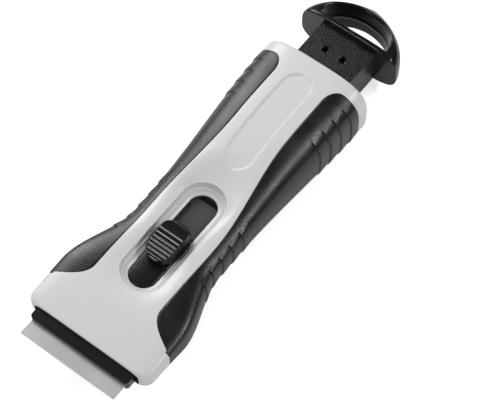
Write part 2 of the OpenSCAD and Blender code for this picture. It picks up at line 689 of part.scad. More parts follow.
// Side view of the pad: a rounded nose, a ridged top that climbs to the crest, a smooth back
pad_front = skirt_y - skirt_ry;
pad_back = skirt_y + skirt_ry - 0.2;
pad_crest = skirt_y + 1;
pad_foot = skirt_z + skirt_t;
pad_nose = 1.8;
crest_z = pad_top - ridge_h;
ridge_pitch = (pad_crest + 2 - pad_front - pad_nose) / ridge_count;
function top_z(y) = crest_z - pad_rise * max(0, pad_crest - y) / (pad_crest - pad_front - pad_nose);
function nose_point(t, out) = let (rise = top_z(pad_front) - pad_foot)
  [pad_front + pad_nose * (1 - cos(t)) - out * cos(t) * 0.5, pad_foot + (rise + out) * sin(t)];
pad_profile = concat(
  [[pad_front, skirt_z + 0.2]],
  [for (t = [22, 56]) for (d = [-9, -3, 3, 9]) nose_point(t + d, abs(d) < 4 ? ridge_h : 0)],
  [for (i = [0.25:1:ridge_count - 0.5]) for (d = [-0.5, -0.15, 0.15, 0.5])
    let (y = pad_front + pad_nose + i * ridge_pitch + d) [y, top_z(y) + (abs(d) < 0.2 ? ridge_h : 0)]],
  [for (t = [20:10:90]) [
    pad_crest + (pad_back - pad_crest) * sin(t),
    pad_foot + (crest_z - pad_foot) * pow(cos(t), 1.3)]],
  [[pad_back, skirt_z + 0.2]]);

module thumb_button() {
  color(black) difference() {
    union() {
      stadium_prism(2 * neck_x, neck_front, neck_end_y, neck_z[0], neck_z[1]);
      translate([0, 0, neck_z[0]]) linear_extrude(skirt_z + skirt_t - neck_z[0])
        intersection() {
          stadium(2 * neck_x, neck_front, neck_end_y);
          translate([0, skirt_y]) resize([2 * skirt_rx, 2 * skirt_ry]) circle(r = 1);
        }
      oval_loft([
        [skirt_z, skirt_rx, skirt_ry, skirt_y],
        [skirt_z + 0.3, skirt_rx, skirt_ry, skirt_y],
        [pad_foot, skirt_rx - 0.5, skirt_ry - 0.3, skirt_y],
        [pad_foot + 1.3, pad_rx - 0.1, skirt_ry - 0.9, skirt_y]]);
      intersection() {
        rotate([90, 0, 90]) translate([0, 0, -pad_rx]) linear_extrude(2 * pad_rx) polygon(pad_profile);
        translate([0, 0, skirt_z]) linear_extrude(pad_top) stadium(2 * pad_rx, pad_front - 0.2, pad_back);
      }
      // Lock teeth under the slot plate
      slab(lock_x, lock_y - lock_l / 2, lock_y + lock_l / 2, neck_z[0] - 0.6, slot_z - slot_t - 0.15);
      for (y = hook_y) for (s = [-1, 1]) {
        translate([s * hook_x - hook_w / 2, y - hook_l / 2, carriage_low - hook_drop])
          cube([hook_w, hook_l, neck_z[0] - carriage_low + hook_drop + 0.3]);
        translate([s * (hook_x - 0.65) - hook_w / 2, y - hook_l / 2, carriage_low - hook_drop])
          cube([hook_w, hook_l, hook_drop - seat_gap]);
      }
    }
    translate([0, spring_y, neck_z[0] - 0.7]) cylinder(r = spring_r + wire_r + 0.2, h = 1.5);
  }
}

// Spring: one wire from its seat in the carriage up into the button's neck
spring_low = spring_seat + wire_r + 0.02;
spring_high = neck_z[0] + 0.8 - wire_r - 0.02;
spring_steps = 12;
wire_sides = 6;
module button_spring() {
  total = spring_turns * spring_steps;
  rings = [for (i = [0:total]) let (t = 360 * i / spring_steps,
    lift = max(0, min(1, (i / total - 0.15) / 0.7)), z = spring_low + (spring_high - spring_low) * lift)
    [for (j = [0:wire_sides - 1]) let (q = 360 * j / wire_sides, r = spring_r + wire_r * cos(q))
      [r * cos(t), -r * sin(t), z + wire_r * sin(q)]]];
  color(steel) translate([0, spring_y, 0]) skin(rings);
}

// Drawer case: roof, two sides and a front wall, open below and at the ring
module drawer_case() {
  low = drawer_top - case_h;
  tongue_z = drawer_top - drawer_wall;
  color(black) difference() {
    union() {
      slab(drawer_w / 2, drawer_front, ring_front, low, drawer_top);
      slab(stop_x, drawer_front, drawer_front + stop_l, drawer_top - 0.5, drawer_top + stop_h - 0.1);
      // Raised rib beside the left window
      translate([-window_gap / 2 - 0.35, ring_front - window_y + window / 2 + 1, drawer_top - 0.1])
        cube([0.7, 3, 0.35]);
    }
    slab(drawer_w / 2 - drawer_wall, drawer_front + drawer_wall, ring_front + 1, low - 1, tongue_z);
    for (s = [-1, 1]) translate([s * window_gap / 2, ring_front - window_y, drawer_top])
      cube([window, window, 4], center = true);
  }
}

// Clip-on floor of the drawer, with ribs that the blade box lies on
module drawer_floor() {
  high = drawer_top - case_h - seat_gap;
  rib_high = box_low - seat_gap;
  inner = drawer_w / 2 - drawer_wall;
  color(black) {
    difference() {
      slab(drawer_w / 2, drawer_front, ring_front, drawer_low, high);
      slab(inner, drawer_front + drawer_wall, ring_front - drawer_wall, drawer_low + drawer_wall, high + 1);
    }
    for (i = [1:5]) {
      y = drawer_front + i * (drawer_l / 6);
      slab(inner + 0.1, y - 0.5, y + 0.5, drawer_low + drawer_wall - 0.1, high - 0.3);
      slab(inner - 1, y - 0.5, y + 0.5, high - 0.4, rib_high);
    }
    // Tab that hooks into the case behind the blade box
    slab(8, ring_front - drawer_wall - 0.1, ring_front - 0.3, high - 0.2, high + 1.4);
  }
}

// Blade box: its back to the left, its open side to the right, walls scooped
box_x = -box_d / 2;
tongue_plate = 1.5;
box_low = drawer_top - drawer_wall - tongue_plate - 0.2 - box_h;
box_front = drawer_front + drawer_wall + box_inset;
module blade_box() {
  color(black) difference() {
    union() {
      translate([box_x, box_front, box_low]) cube([box_d, box_l, box_h]);
      for (i = [-1:1]) translate([box_x + box_d / 2 + i * 4.5, box_front + box_l, box_low + box_h / 2])
        rotate([-90, 0, 0]) cylinder(r1 = 0.8, r2 = 0.5, h = 0.4);
    }
    translate([box_x + box_wall, box_front + end_block, box_low + box_wall])
      cube([box_d + 1, box_l - 2 * end_block, box_h - 2 * box_wall]);
    // Scoop through both broad walls, open to the right
    translate([box_x + box_d, box_front + box_l / 2, box_low - 1]) intersection() {
      translate([box_d * 0.45, 0, 0]) cylinder(r = box_l * 0.52, h = box_h + 2, $fn = 96);
      translate([-box_d * 0.62, -box_l * 0.36, 0]) cube([box_d, box_l * 0.72, box_h + 2]);
    }
    // Notches that guide the ends of the blades
    for (y = [box_front + 4.4, box_front + box_l - 4.4]) for (z = [box_low - 0.1, box_low + box_h - 0.3])
      translate([box_x + 2, y - 0.4, z]) cube([box_d, 0.8, 0.4]);
  }
}

// Spare blades lie on each other in the box, cutting edge to its back wall
module spare_blade(i) {
  color(steel) if (i <= spare_count)
    translate([box_x + box_wall + 0.1, box_front + box_l / 2, box_low + box_wall + (i - 1) * blade_t])
      rotate(-90) blade_plate();
}
module spare_blade_1() { spare_blade(1); }
module spare_blade_2() { spare_blade(2); }
module spare_blade_3() { spare_blade(3); }
module spare_blade_4() { spare_blade(4); }
module spare_blade_5() { spare_blade(5); }

// Ring: a domed plug whose sections shrink towards its far end, with a D-shaped loop
function ring_shrink(u) = pow(1 - pow(min(1, u), 1.64), 1 / 1.64);
function ring_half(u) = ring_tip_h / 2 + (ring_h - ring_tip_h) / 2 * (1 - pow(u, 3));
ring_sides = 32;
ring_edge = 0.8;
function ring_section(y, a, b) = [for (j = [0:ring_sides - 1]) let (t = 360 * j / ring_sides, n = 3.8)
  [a * pow(abs(cos(t)), 2 / n) * sign(cos(t)), y, b * pow(abs(sin(t)), 2 / n) * sign(sin(t))]];
module ring_body() {
  dome = ring_l - ring_edge;
  skin(concat(
    [ring_section(ring_front, ring_w / 2 - ring_edge, ring_h / 2 - ring_edge / 2),
      ring_section(ring_front + 0.25, ring_w / 2 - 0.25, ring_h / 2 - 0.12)],
    [for (u = [0, 0.12, 0.25, 0.38, 0.5, 0.61, 0.71, 0.8, 0.87, 0.93, 0.97, 0.99])
      ring_section(ring_front + ring_edge + u * dome, ring_w / 2 * ring_shrink(u), ring_half(u))],
    [ring_section(ring_front + ring_l, ring_w / 2 * 0.08, ring_tip_h / 2 * 0.7)]));
}

// Outline of the loop, grown by an amount: straight bar in front, arc behind
function loop_points(grow) = let (y1 = ring_front + ring_bar - grow,
  l = ring_l - ring_bar - ring_rim + 2 * grow, a = ring_w / 2 * 0.8 - ring_rim + 1.2 + grow)
  [for (i = [0:20]) let (t = 180 * i / 20) [a * cos(t), y1 + l * pow(sin(t), 0.85)]];

module ring_handle() {
  tongue_top = drawer_top - drawer_wall;
  color(black) {
    difference() {
      ring_body();
      translate([0, 0, -ring_h]) linear_extrude(2 * ring_h) polygon(loop_points(0));
      for (s = [0, 1]) mirror([0, 0, s]) hull() {
        translate([0, 0, ring_h * 0.14]) linear_extrude(0.01) polygon(loop_points(0));
        translate([0, 0, ring_h / 2 + 0.5]) linear_extrude(0.01) polygon(loop_points(1));
      }
    }
    // Tongue under the drawer's roof, with two lugs in its windows and a cheek at each side
    slab(drawer_w / 2 - drawer_wall - seat_gap, ring_front - window_y - 3, ring_front + 0.5,
      tongue_top - tongue_plate, tongue_top - seat_gap);
    for (s = [-1, 1]) {
      translate([s * window_gap / 2, ring_front - window_y, tongue_top + drawer_wall / 2 - 0.4])
        cube([window - 2 * seat_gap, window - 2 * seat_gap, drawer_wall], center = true);
    }
  }
}

// Origin in the middle of the whole scraper's plan, on the surface that it rests on
y_middle = (blade_front + ring_front + ring_l) / 2;
module place() {
  translate([0, -y_middle, flat_h]) children();
}

place() top_shell();
place() bottom_shell();
place() left_grip();
place() right_grip();
place() housing_screws();
place() carriage();
place() lower_jaw();
place() upper_jaw();
place() jaw_screws();
place() blade();
place() thumb_button();
place() button_spring();
place() drawer_case();
place() drawer_floor();
place() ring_handle();
place() blade_box();
place() spare_blade_1();
place() spare_blade_2();
place() spare_blade_3();
place() spare_blade_4();
place() spare_blade_5();
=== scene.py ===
# %% [markdown]
# # Ceramic hob scraper with a blade drawer
#
# A hand scraper for glass hobs. Its light-grey housing is moulded in two halves that meet at the
# middle of its height, and two soft black grips are laid into its sides. A steel blade is clamped
# between black jaws in the wide head. A ridged thumb button draws the blade back into the head. The
# handle holds a black drawer with a box of spare blades, and the drawer ends in a glossy ring.
#
# The lesson goes from the outside in. Large curved pieces are computed as surfaces from the same few
# formulas that shape the CAD, but far finer. Flat-sided pieces keep their CAD form and get rounded
# edges. Every finish is a small procedural material.
#
# All lengths below are in millimetres in the housing's own coordinates: y is 0 at the mouth and
# grows towards the ring, and z is 0 where the two halves meet. The function `world` turns them into
# metres in the shared frame.

import math

import bpy
import numpy as np
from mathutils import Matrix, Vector

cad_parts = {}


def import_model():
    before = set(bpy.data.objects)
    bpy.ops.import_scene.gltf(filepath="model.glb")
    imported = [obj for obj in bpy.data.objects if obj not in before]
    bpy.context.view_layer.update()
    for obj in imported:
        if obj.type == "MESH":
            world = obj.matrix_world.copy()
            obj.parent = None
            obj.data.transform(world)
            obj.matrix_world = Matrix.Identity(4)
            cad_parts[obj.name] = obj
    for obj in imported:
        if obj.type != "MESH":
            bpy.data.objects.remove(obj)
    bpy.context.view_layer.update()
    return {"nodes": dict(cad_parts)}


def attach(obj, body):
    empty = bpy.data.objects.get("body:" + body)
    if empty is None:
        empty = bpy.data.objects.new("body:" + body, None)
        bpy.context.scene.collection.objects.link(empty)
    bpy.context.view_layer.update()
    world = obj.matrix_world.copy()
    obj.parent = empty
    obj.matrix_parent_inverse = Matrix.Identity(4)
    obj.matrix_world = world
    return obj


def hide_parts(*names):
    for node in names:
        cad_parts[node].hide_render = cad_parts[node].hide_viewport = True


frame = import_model()

# %% [markdown]
# ## The body's formulas
#
# The housing is a loft of superellipses. Along its length the half width, the height over the
# parting plane, the depth under it and the exponent each follow a smooth step, which rises from 0 to
# 1 with level ends. The head is wide, low and squarish, the waist is narrow, and the handle is tall
# and rounder. A line called the strip edge divides the hard grey crown from the soft grips. It flares
# out round two lobes, one at the head and one at the tail, and draws in slowly from the waist to the
# handle.
#
# Sculpting could give the same body, but formulas let every piece take its border from the same
# lines, so that the grips fill their pockets without a gap.

# %% Sizes and formulas
FLAT = 14.0
BODY_L, HEAD_W, WAIST_W, TAIL_W = 139.5, 56.0, 40.0, 47.4
FRONT_CORNER_R, TAIL_EDGE_R, LIP_R = 4.0, 1.6, 0.8
GRIP_START, GRIP_END = 12.7, 133.4
RING_FRONT, RING_L, RING_W, RING_H = 159.3, 17.6, 44.8, 21.2
BLADE_EDGE = -11.0
Y_MIDDLE = (BLADE_EDGE + RING_FRONT + RING_L) / 2


def world(points):
    """Points in the housing's millimetres as metres in the shared frame."""
    return (np.asarray(points, float) - [0.0, Y_MIDDLE, -FLAT]) * 0.001


def smooth(u):
    """Smooth step: three times u squared less two times u cubed, with u held between 0 and 1."""
    v = np.clip(u, 0.0, 1.0)
    return v * v * (3.0 - 2.0 * v)


def drawn_in(d, r):
    """How far an edge of radius r has drawn in at distance d from the end.

    It is r less the height of a quarter circle.
    """
    f = np.clip(r - d, 0.0, r)
    return r - np.sqrt(np.maximum(r * r - f * f, 0.0))


def plan_w(y):
    """Half width without rounded ends: the waist, plus the head's share and the tail's share."""
    head = (HEAD_W - WAIST_W) / 2 * (1 - smooth((y - 20) / 32))
    tail = (TAIL_W - WAIST_W) / 2 * smooth((y - 60) / (BODY_L - 60))
    return WAIST_W / 2 + head + tail


def half_w(y):
    """Half width with the rounded front corners and the rounded edge of the tail."""
    return plan_w(y) - drawn_in(y, FRONT_CORNER_R) - drawn_in(BODY_L - y, TAIL_EDGE_R)


def top_h(y):
    """Height of the crown over the parting plane."""
    rise = 6.9 + 8.0 * smooth((y - 50) / 64)
    return rise - 2.9 * np.clip(1 - y / 32, 0, 1) ** 2 - drawn_in(BODY_L - y, TAIL_EDGE_R)


def under_h(y):
    """Depth of the underside under the parting plane, before the flat is cut."""
    return 5.0 + 9.5 * smooth((y - 2) / 45) - drawn_in(BODY_L - y, TAIL_EDGE_R)


def power(y):
    """Exponent of the section: 5 at the head, 3 at the waist, 3.4 at the tail."""
    return 5.0 - 2.0 * smooth((y - 20) / 34) + 0.4 * smooth((y - 80) / 60)


def strip(y):
    """Half width of the hard crown between the grips."""
    front = 13.2 * np.clip(1 - (y - GRIP_START) / 11.8, 0, 1) ** 2.2
    turn = np.clip(1 - (GRIP_END - y) / 7.6, 0, 1)
    rear = 5.4 * (1 - np.sqrt(np.maximum(1 - turn**2, 0)))
    return np.minimum(0.93 * plan_w(y), 15.0 - 3.95 * smooth((y - 57) / 46) + front + rear)


def crown(x, y, h):
    """Height of the superellipse of height h at the distance x from the middle."""
    n = power(y)
    return h * np.clip(1 - np.clip(np.abs(x) / half_w(y), 0, 1) ** n, 0, 1) ** (1 / n)


for at in (0, 45, 100, 139):
    print("y", at, "half width", round(float(half_w(at)), 2), "top", round(float(top_h(at)), 2))

# %% [markdown]
# ## Making a piece from surfaces
#
# A piece is a list of patches. A patch is a grid of points, rows by columns, with each square of the
# grid as one face. The patches share their border points, so that welding them gives one continuous
# skin with smooth shading. The side that faces outwards is chosen by a direction for each patch.
# Subdivision of a coarse cage would be quicker to draw, but it can't follow a given line exactly.


# %% Helpers that turn grids of points into meshes
def quads(rows, cols, around=False):
    """Corner numbers of the squares of a grid; with around, the last column joins the first."""
    r = np.arange(rows - 1)[:, None]
    c = np.arange(cols if around else cols - 1)[None, :]
    n = (c + 1) % cols
    return np.stack([r * cols + c, r * cols + n, (r + 1) * cols + n, (r + 1) * cols + c], -1).reshape(-1, 4)


def outward(points, faces, towards):
    """Turns the faces over if most of them look away from the wanted side.

    The wanted side is a direction, or a function of the face centres.
    """
    a, b, c, d = (points[faces[:, i]] for i in range(4))
    normal = np.cross(c - a, d - b)
    centre = (a + b + c + d) / 4
    want = towards(centre) if callable(towards) else np.broadcast_to(np.array(towards, float), centre.shape)
    return faces if (normal * want).sum() >= 0 else faces[:, ::-1]


def from_axis(centre):
    """Away from the long axis of the scraper."""
    return centre * [1.0, 0.0, 1.0]


def rows_of(*parts):
    """Stretches of positions joined and sorted, each position once."""
    return np.unique(np.concatenate(parts))


def welded(verts):
    """For each point the number of its first twin within 0.002 mm, and the points that are kept."""
    cells = np.round(verts / 2e-6).astype(np.int64)
    _, first, same = np.unique(cells, axis=0, return_index=True, return_inverse=True)
    return same.reshape(-1), verts[first]


def make_piece(name, patches, material, body, stands_for, sharp=40.0):
    """Welds patches of (points, around, towards) into one object that rides on a body."""
    verts, faces, start = [], [], 0
    for points, around, towards in patches:
        grid = np.asarray(points, float)
        flat = grid.reshape(-1, 3)
        squares = outward(flat, quads(grid.shape[0], grid.shape[1], around), towards)
        verts.append(flat)
        faces.append(squares + start)
        start += len(flat)
    same, verts = welded(world(np.concatenate(verts)))
    loops = [[int(v) for i, v in enumerate(f) if v != f[i - 1]] for f in same[np.concatenate(faces)]]
    mesh = bpy.data.meshes.new(name)
    mesh.from_pydata(verts.tolist(), [], [f for f in loops if len(set(f)) > 2 and len(set(f)) == len(f)])
    mesh.update()
    obj = bpy.data.objects.new(name, mesh)
    bpy.context.scene.collection.objects.link(obj)
    mesh.polygons.foreach_set("use_smooth", [True] * len(mesh.polygons))
    if sharp:
        mesh.set_sharp_from_angle(angle=math.radians(sharp))
    mesh.materials.append(material)
    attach(obj, body)
    if stands_for:
        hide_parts(*stands_for)
    print(name, len(mesh.vertices), "points", len(mesh.polygons), "faces")


print("a closed band of 3 by 4 points has", len(quads(3, 4, around=True)), "squares")

# %% [markdown]
# ## Finishes
#
# The housing is satin ABS, a pale grey with a very fine leather grain. The grips are a thermoplastic
# elastomer, black and rougher, with a fine speckle. The drawer comes from an eroded mould, so it is
# black with tiny specks. The jaws and the button are a smooth satin black, and the ring and the box
# are polished.
#
# Images could give these grains, but noise in the object's own coordinates needs no unwrapping and
# stays sharp at any distance. One function makes them all. Fine noise lifts the surface, and fine
# and broad noise together vary the colour and the roughness a little.


# %% Materials
def noise(tree, vector, scale, detail):
    """The value of a noise texture at the given coordinates."""
    node = tree.nodes.new("ShaderNodeTexNoise")
    node.inputs["Scale"].default_value = scale
    node.inputs["Detail"].default_value = detail
    tree.links.new(vector, node.inputs["Vector"])
    return node.outputs["Fac"]


def average(tree, one, other):
    """The mean of two values."""
    half = tree.nodes.new("ShaderNodeMath")
    half.operation = "MULTIPLY"
    half.inputs[1].default_value = 0.5
    tree.links.new(other, half.inputs[0])
    total = tree.nodes.new("ShaderNodeMath")
    total.operation = "MULTIPLY_ADD"
    total.inputs[1].default_value = 0.5
    tree.links.new(one, total.inputs[0])
    tree.links.new(half.outputs["Value"], total.inputs[2])
    return total.outputs["Value"]


def spread_over(tree, value, low, high):
    """A noise value between 0.3 and 0.7, where most of it lies, spread from low to high."""
    node = tree.nodes.new("ShaderNodeMapRange")
    node.inputs["From Min"].default_value = 0.3
    node.inputs["From Max"].default_value = 0.7
    node.inputs["To Min"].default_value = low
    node.inputs["To Max"].default_value = high
    tree.links.new(value, node.inputs["Value"])
    return node.outputs["Result"]


def finish(name, slot, colour, rough, grain, relief, spread, metal=0.0, patch=0.08, brushed=False):
    """A principled material.

    grain is the scale of the fine noise and relief its height in millimetres. spread and patch are
    the shares by which colour and roughness vary. A brushed finish has its grain drawn out along X.
    """
    mat = bpy.data.materials.new(name)
    mat.use_nodes = True
    tree = mat.node_tree
    shader = tree.nodes["Principled BSDF"]
    shader.inputs["Metallic"].default_value = metal
    where = tree.nodes.new("ShaderNodeTexCoord").outputs["Object"]
    stretch = tree.nodes.new("ShaderNodeMapping")
    stretch.inputs["Scale"].default_value = (0.04 if brushed else 1.0, 1.0, 1.0)
    tree.links.new(where, stretch.inputs["Vector"])
    fine = noise(tree, stretch.outputs["Vector"], grain, 3.0)
    mixed = average(tree, fine, noise(tree, where, 60.0, 4.0))
    shade = tree.nodes.new("ShaderNodeVectorMath")
    shade.operation = "SCALE"
    shade.inputs[0].default_value = colour
    tree.links.new(spread_over(tree, mixed, 1 - spread, 1 + spread), shade.inputs["Scale"])
    tree.links.new(shade.outputs["Vector"], shader.inputs["Base Color"])
    dull = spread_over(tree, mixed, rough * (1 - patch), rough * (1 + patch))
    tree.links.new(dull, shader.inputs["Roughness"])
    bump = tree.nodes.new("ShaderNodeBump")
    bump.inputs["Strength"].default_value = 1.0
    bump.inputs["Distance"].default_value = relief * 0.001
    tree.links.new(fine, bump.inputs["Height"])
    tree.links.new(bump.outputs["Normal"], shader.inputs["Normal"])
    mat["slot"] = slot
    print("material", name, "for slot", slot)
    return mat


JET = (0.008, 0.008, 0.009)
RUBBER_BLACK = (0.009, 0.009, 0.010)
GREY = finish("light grey satin plastic", "housing", (0.57, 0.57, 0.575), 0.30, 1800, 0.006, 0.015)
GRIP = finish("soft black elastomer", "grip", RUBBER_BLACK, 0.34, 1800, 0.065, 0.6, patch=0.3)
BLACK = finish("satin black plastic", "black_plastic", JET, 0.23, 2200, 0.012, 0.3)
DRAWER = finish("eroded black plastic", "drawer_plastic", JET, 0.30, 1600, 0.22, 0.9, patch=0.45)
GLOSS = finish("polished black plastic", "ring_plastic", JET, 0.16, 900, 0.004, 0.2)
PLATE = finish("dark grey plastic", "carriage", (0.05, 0.052, 0.055), 0.34, 1600, 0.01, 0.2)
STEEL = finish(
    "ground blade steel", "blade", (0.49, 0.50, 0.51), 0.42, 3000, 0.008, 0.08, metal=0.5, brushed=True
)
ZINC = finish("zinc plated steel", "screws", (0.62, 0.62, 0.63), 0.30, 2500, 0.006, 0.08, metal=1.0)
# Painted shade: a darker grey for the walls inside the housing, which are the same light grey plastic.
PAINTED_SHADE_GREY = finish("painted shade inside", "housing", (0.10, 0.10, 0.10), 0.7, 900, 0.01, 0.1)

# %% [markdown]
# ## The top of the housing
#
# The crown between the grips is one skin, as on the real moulding. Round the slot its grid lines
# follow the slot: rings at growing distances from the slot's edge carry a sloped band, a step up to a
# ledge and a second slope up to the crown, then fan out to the strip edges. In front and behind, the
# lines run straight across. The head and the tail add side bands that turn down to the parting plane.
# A grid of straight lines all over would be simpler, but it would leave jagged steps round the slot.
#
# The crown is dished round the slot, so that it rises gently from the slot's surround to its full
# height. The recess in the handle is pressed 0.6 mm into the same skin. Its depth is a smooth step of
# the distance to a stadium, so its wall stays soft all round.

# %% Sizes of the slot and the recess
SLOT_Y, SLOT_END, SLOT_R, SLOT_Z = 27.3, 73.1, 5.9, 3.7
BAND_W, STEP_H, SURROUND_W, DISH_L = 1.1, 0.8, 3.75, 14.0
RECESS_Y, RECESS_END, RECESS_R, RECESS_DEPTH = 84.2, 130.8, 6.05, 0.6


def seam_w(y):
    """Half width of the crown's skin: the strip edge, and beyond the grips' ends most of the width."""
    inner = np.clip(y, GRIP_START + 0.001, GRIP_END - 0.001)
    head = 0.93 * plan_w(y) - 0.93 * drawn_in(y, FRONT_CORNER_R)
    return np.where(y < GRIP_START, head, strip(inner))


def past_ends(y, y1, y2, r):
    """How far y lies beyond the centres of the round ends of a stadium from y1 to y2."""
    return np.maximum(np.maximum(y1 + r - y, y - y2 + r), 0.0)


def off_stadium(x, y, y1, y2, r):
    """Distance outside a stadium of radius r along Y from y1 to y2, less than 0 inside."""
    return np.hypot(x, past_ends(y, y1, y2, r)) - r


def slot_level(d):
    """Height at a distance d from the slot's edge: a band that rises and levels out, then a step."""
    band = SLOT_Z - 0.5 * (1 - np.clip(d / BAND_W, 0, 1)) ** 1.5
    return band + STEP_H * smooth((d - BAND_W) / 0.7)


def dished(x, y, d, top):
    """The crown round the slot.

    Where the surround ends it is only a little higher than the ledge. It rises as a sine to its full
    height at the strip edge, and DISH_L before and behind the slot.
    """
    past = past_ends(y, SLOT_Y, SLOT_END, SLOT_R)
    turned = (past / np.maximum(np.hypot(x, past), 1e-6)) ** 2
    reach = (seam_w(y) - SLOT_R - SURROUND_W) * (1 - turned) + DISH_L * turned
    edge = 5.9 + 0.3 * smooth((y - 35) / 25) + 0.8 * smooth((y - 66) / 11)
    q = np.clip((d - SURROUND_W) / np.maximum(reach, 0.5), 0, 1)
    return top + (np.minimum(edge, top) - top) * (1 - np.sin(q * np.pi / 2))


def top_z(x, y):
    """Height of the crown's skin, with the slot's surround and the recess pressed in."""
    d = off_stadium(x, y, SLOT_Y, SLOT_END, SLOT_R)
    ahead = np.maximum(SLOT_Y + SLOT_R - y, 0.0)
    d = d * (1 + 0.35 * (ahead / np.maximum(np.hypot(x, ahead), 1e-6)) ** 2)
    z = dished(x, y, d, crown(x, y, top_h(y)))
    ledge = slot_level(d)
    z = np.where(d < SURROUND_W, ledge + (z - ledge) * smooth((d - 2.45) / 1.0), z)
    e = off_stadium(x, y, RECESS_Y, RECESS_END, RECESS_R)
    return z - RECESS_DEPTH * (1 - smooth((e + 0.45) / 0.7))


for off in (0.0, 1.0, 2.0, 4.0):
    print("height", off, "mm beside the slot:", round(float(top_z(SLOT_R + off, 50.0)), 2))

# %% Grids of the crown
ACROSS = 96
Y0, Y1 = 20.0, 80.0
SIDE_STEPS, CORNER_STEPS, BAND_STEPS = 70, 14, 22
TOP_LIP, UNDER_LIP = 0.9, 0.8

spread = np.linspace(-1, 1, ACROSS + 1)
quarter_turn = np.linspace(0, np.pi / 2, 8)
front_rows = rows_of(
    LIP_R * (1 - np.cos(np.linspace(0, np.pi / 2, 7))),
    np.linspace(LIP_R, FRONT_CORNER_R, 9),
    np.linspace(FRONT_CORNER_R, GRIP_START, 14),
    np.linspace(GRIP_START, Y0, 20),
)
rear_rows = rows_of(
    np.linspace(Y1, 125, 130),
    np.linspace(125, GRIP_END, 36),
    np.linspace(GRIP_END, BODY_L - TAIL_EDGE_R, 8),
    BODY_L - TAIL_EDGE_R + TAIL_EDGE_R * np.sin(quarter_turn),
)
head_rows = front_rows[front_rows <= GRIP_START + 1e-9]
tail_rows = rear_rows[rear_rows >= GRIP_END - 1e-9]
ring_steps = np.concatenate([
    0.35 * (1 - np.cos(np.linspace(0, np.pi / 2, 6))),
    np.linspace(0.45, 0.95, 4),
    np.linspace(1.0, 1.9, 12),
    np.linspace(2.0, 2.4, 4),
    np.linspace(2.45, 3.45, 14),
    np.linspace(3.55, 4.1, 4),
])


def seam_at(y):
    """Half width of the crown's skin at one place."""
    return float(seam_w(np.array(y)))


def lip_drop(y):
    """How far the rounded lip at the mouth has dropped at y: a quarter circle."""
    return drawn_in(y, LIP_R)


def crown_grid(rows):
    """Rows across the crown from one strip edge to the other."""
    y = np.repeat(rows[:, None], ACROSS + 1, 1)
    x = spread[None, :] * seam_w(y)
    return np.stack([x, y, top_z(x, y) - lip_drop(y) * TOP_LIP], -1)


def half_loop(side, start, end, row):
    """Rays for one side of the slot and the round end after it.

    side is 1 or -1, start and end are the centres of the round ends, and row is the straight row
    that lies beyond the end. Each ray has its foot on the slot's edge, its direction and its far end.
    """
    count = 2 * CORNER_STEPS + ACROSS
    feet, far = [], []
    for y in np.linspace(start, end, SIDE_STEPS)[:-1]:
        feet.append((side * SLOT_R, y, side, 0.0))
        far.append((side * seam_at(y), y))
    for i in range(count):
        c, s = side * np.cos(np.pi * i / count), side * np.sin(np.pi * i / count)
        feet.append((SLOT_R * c, end + SLOT_R * s, c, s))
        if i < CORNER_STEPS:
            y = end + (row - end) * i / CORNER_STEPS
            far.append((side * seam_at(y), y))
        elif i <= CORNER_STEPS + ACROSS:
            far.append((side * seam_at(row) * (1 - 2 * (i - CORNER_STEPS) / ACROSS), row))
        else:
            y = row + (end - row) * (i - CORNER_STEPS - ACROSS) / CORNER_STEPS
            far.append((-side * seam_at(y), y))
    return feet, far


def ring_grid():
    """Rings round the slot: rays leave its edge at right angles, then bend to the borders."""
    front, rear = SLOT_Y + SLOT_R, SLOT_END - SLOT_R
    right_feet, right_far = half_loop(1, front, rear, Y1)
    left_feet, left_far = half_loop(-1, rear, front, Y0)
    feet, far = np.array(right_feet + left_feet), np.array(right_far + left_far)
    near = feet[None, :, :2] + ring_steps[:, None, None] * feet[None, :, 2:]
    blend = np.linspace(0, 1, 15)[1:, None, None]
    last = near[-1][None]
    fan = last + (far[None] - last) * (0.35 * blend + 0.65 * blend**2)
    xy = np.concatenate([near, fan])
    return np.concatenate([xy, top_z(xy[..., 0], xy[..., 1])[..., None]], -1)


crown_front, crown_rings, crown_rear = crown_grid(front_rows), ring_grid(), crown_grid(rear_rows)
print("crown grids:", crown_front.shape, crown_rings.shape, crown_rear.shape)

# %% [markdown]
# The real shells are about 2 mm thick, and they are seen from outside only. So the skin stays
# thin, and walls close it where an eye can look behind it: the slot's wall, the walls along the strip
# edges, the lip of the mouth and the rear face.


# %% Bands and walls
def side_band(rows, h_of, sign, up):
    """Band from the end of the crown's skin round the side to the parting plane."""
    out = []
    for y in rows:
        w, a, n, h = seam_at(y), float(half_w(y)), float(power(y)), float(h_of(y))
        start = math.acos(min(1.0, w / a) ** (n / 2))
        phi = np.linspace(start, 0.0, BAND_STEPS)
        z = h * np.clip(np.sin(phi), 0, 1) ** (2 / n)
        x = a * np.clip(np.cos(phi), 0, 1) ** (2 / n)
        x[0], z[0] = w, float(crown(w, y, h))
        if up > 0:
            z = z - float(lip_drop(y)) * TOP_LIP * np.clip(z / z[0], 0, 1)
        else:
            z = np.minimum(z, FLAT)
        out.append(np.stack([sign * x, np.full(BAND_STEPS, y), up * z], -1))
    return np.array(out)


def strip_wall(sign, h_of, up):
    """Rounded edge and wall along one grip, from the crown's border straight down into the pocket."""
    before, after = front_rows[front_rows >= GRIP_START - 1e-9], rear_rows[rear_rows <= GRIP_END + 1e-9]
    y = rows_of(before, np.linspace(Y0, Y1, 120), after)
    x = sign * seam_w(y)
    line = np.stack([x, y, up * np.minimum(crown(x, y, h_of(y)), FLAT if up < 0 else 99)], -1)
    drops = [0.3 * (1 - np.cos(t)) for t in np.linspace(0, np.pi / 2, 5)] + [1.4]
    return np.array([line - [0, 0, up * drop] for drop in drops])


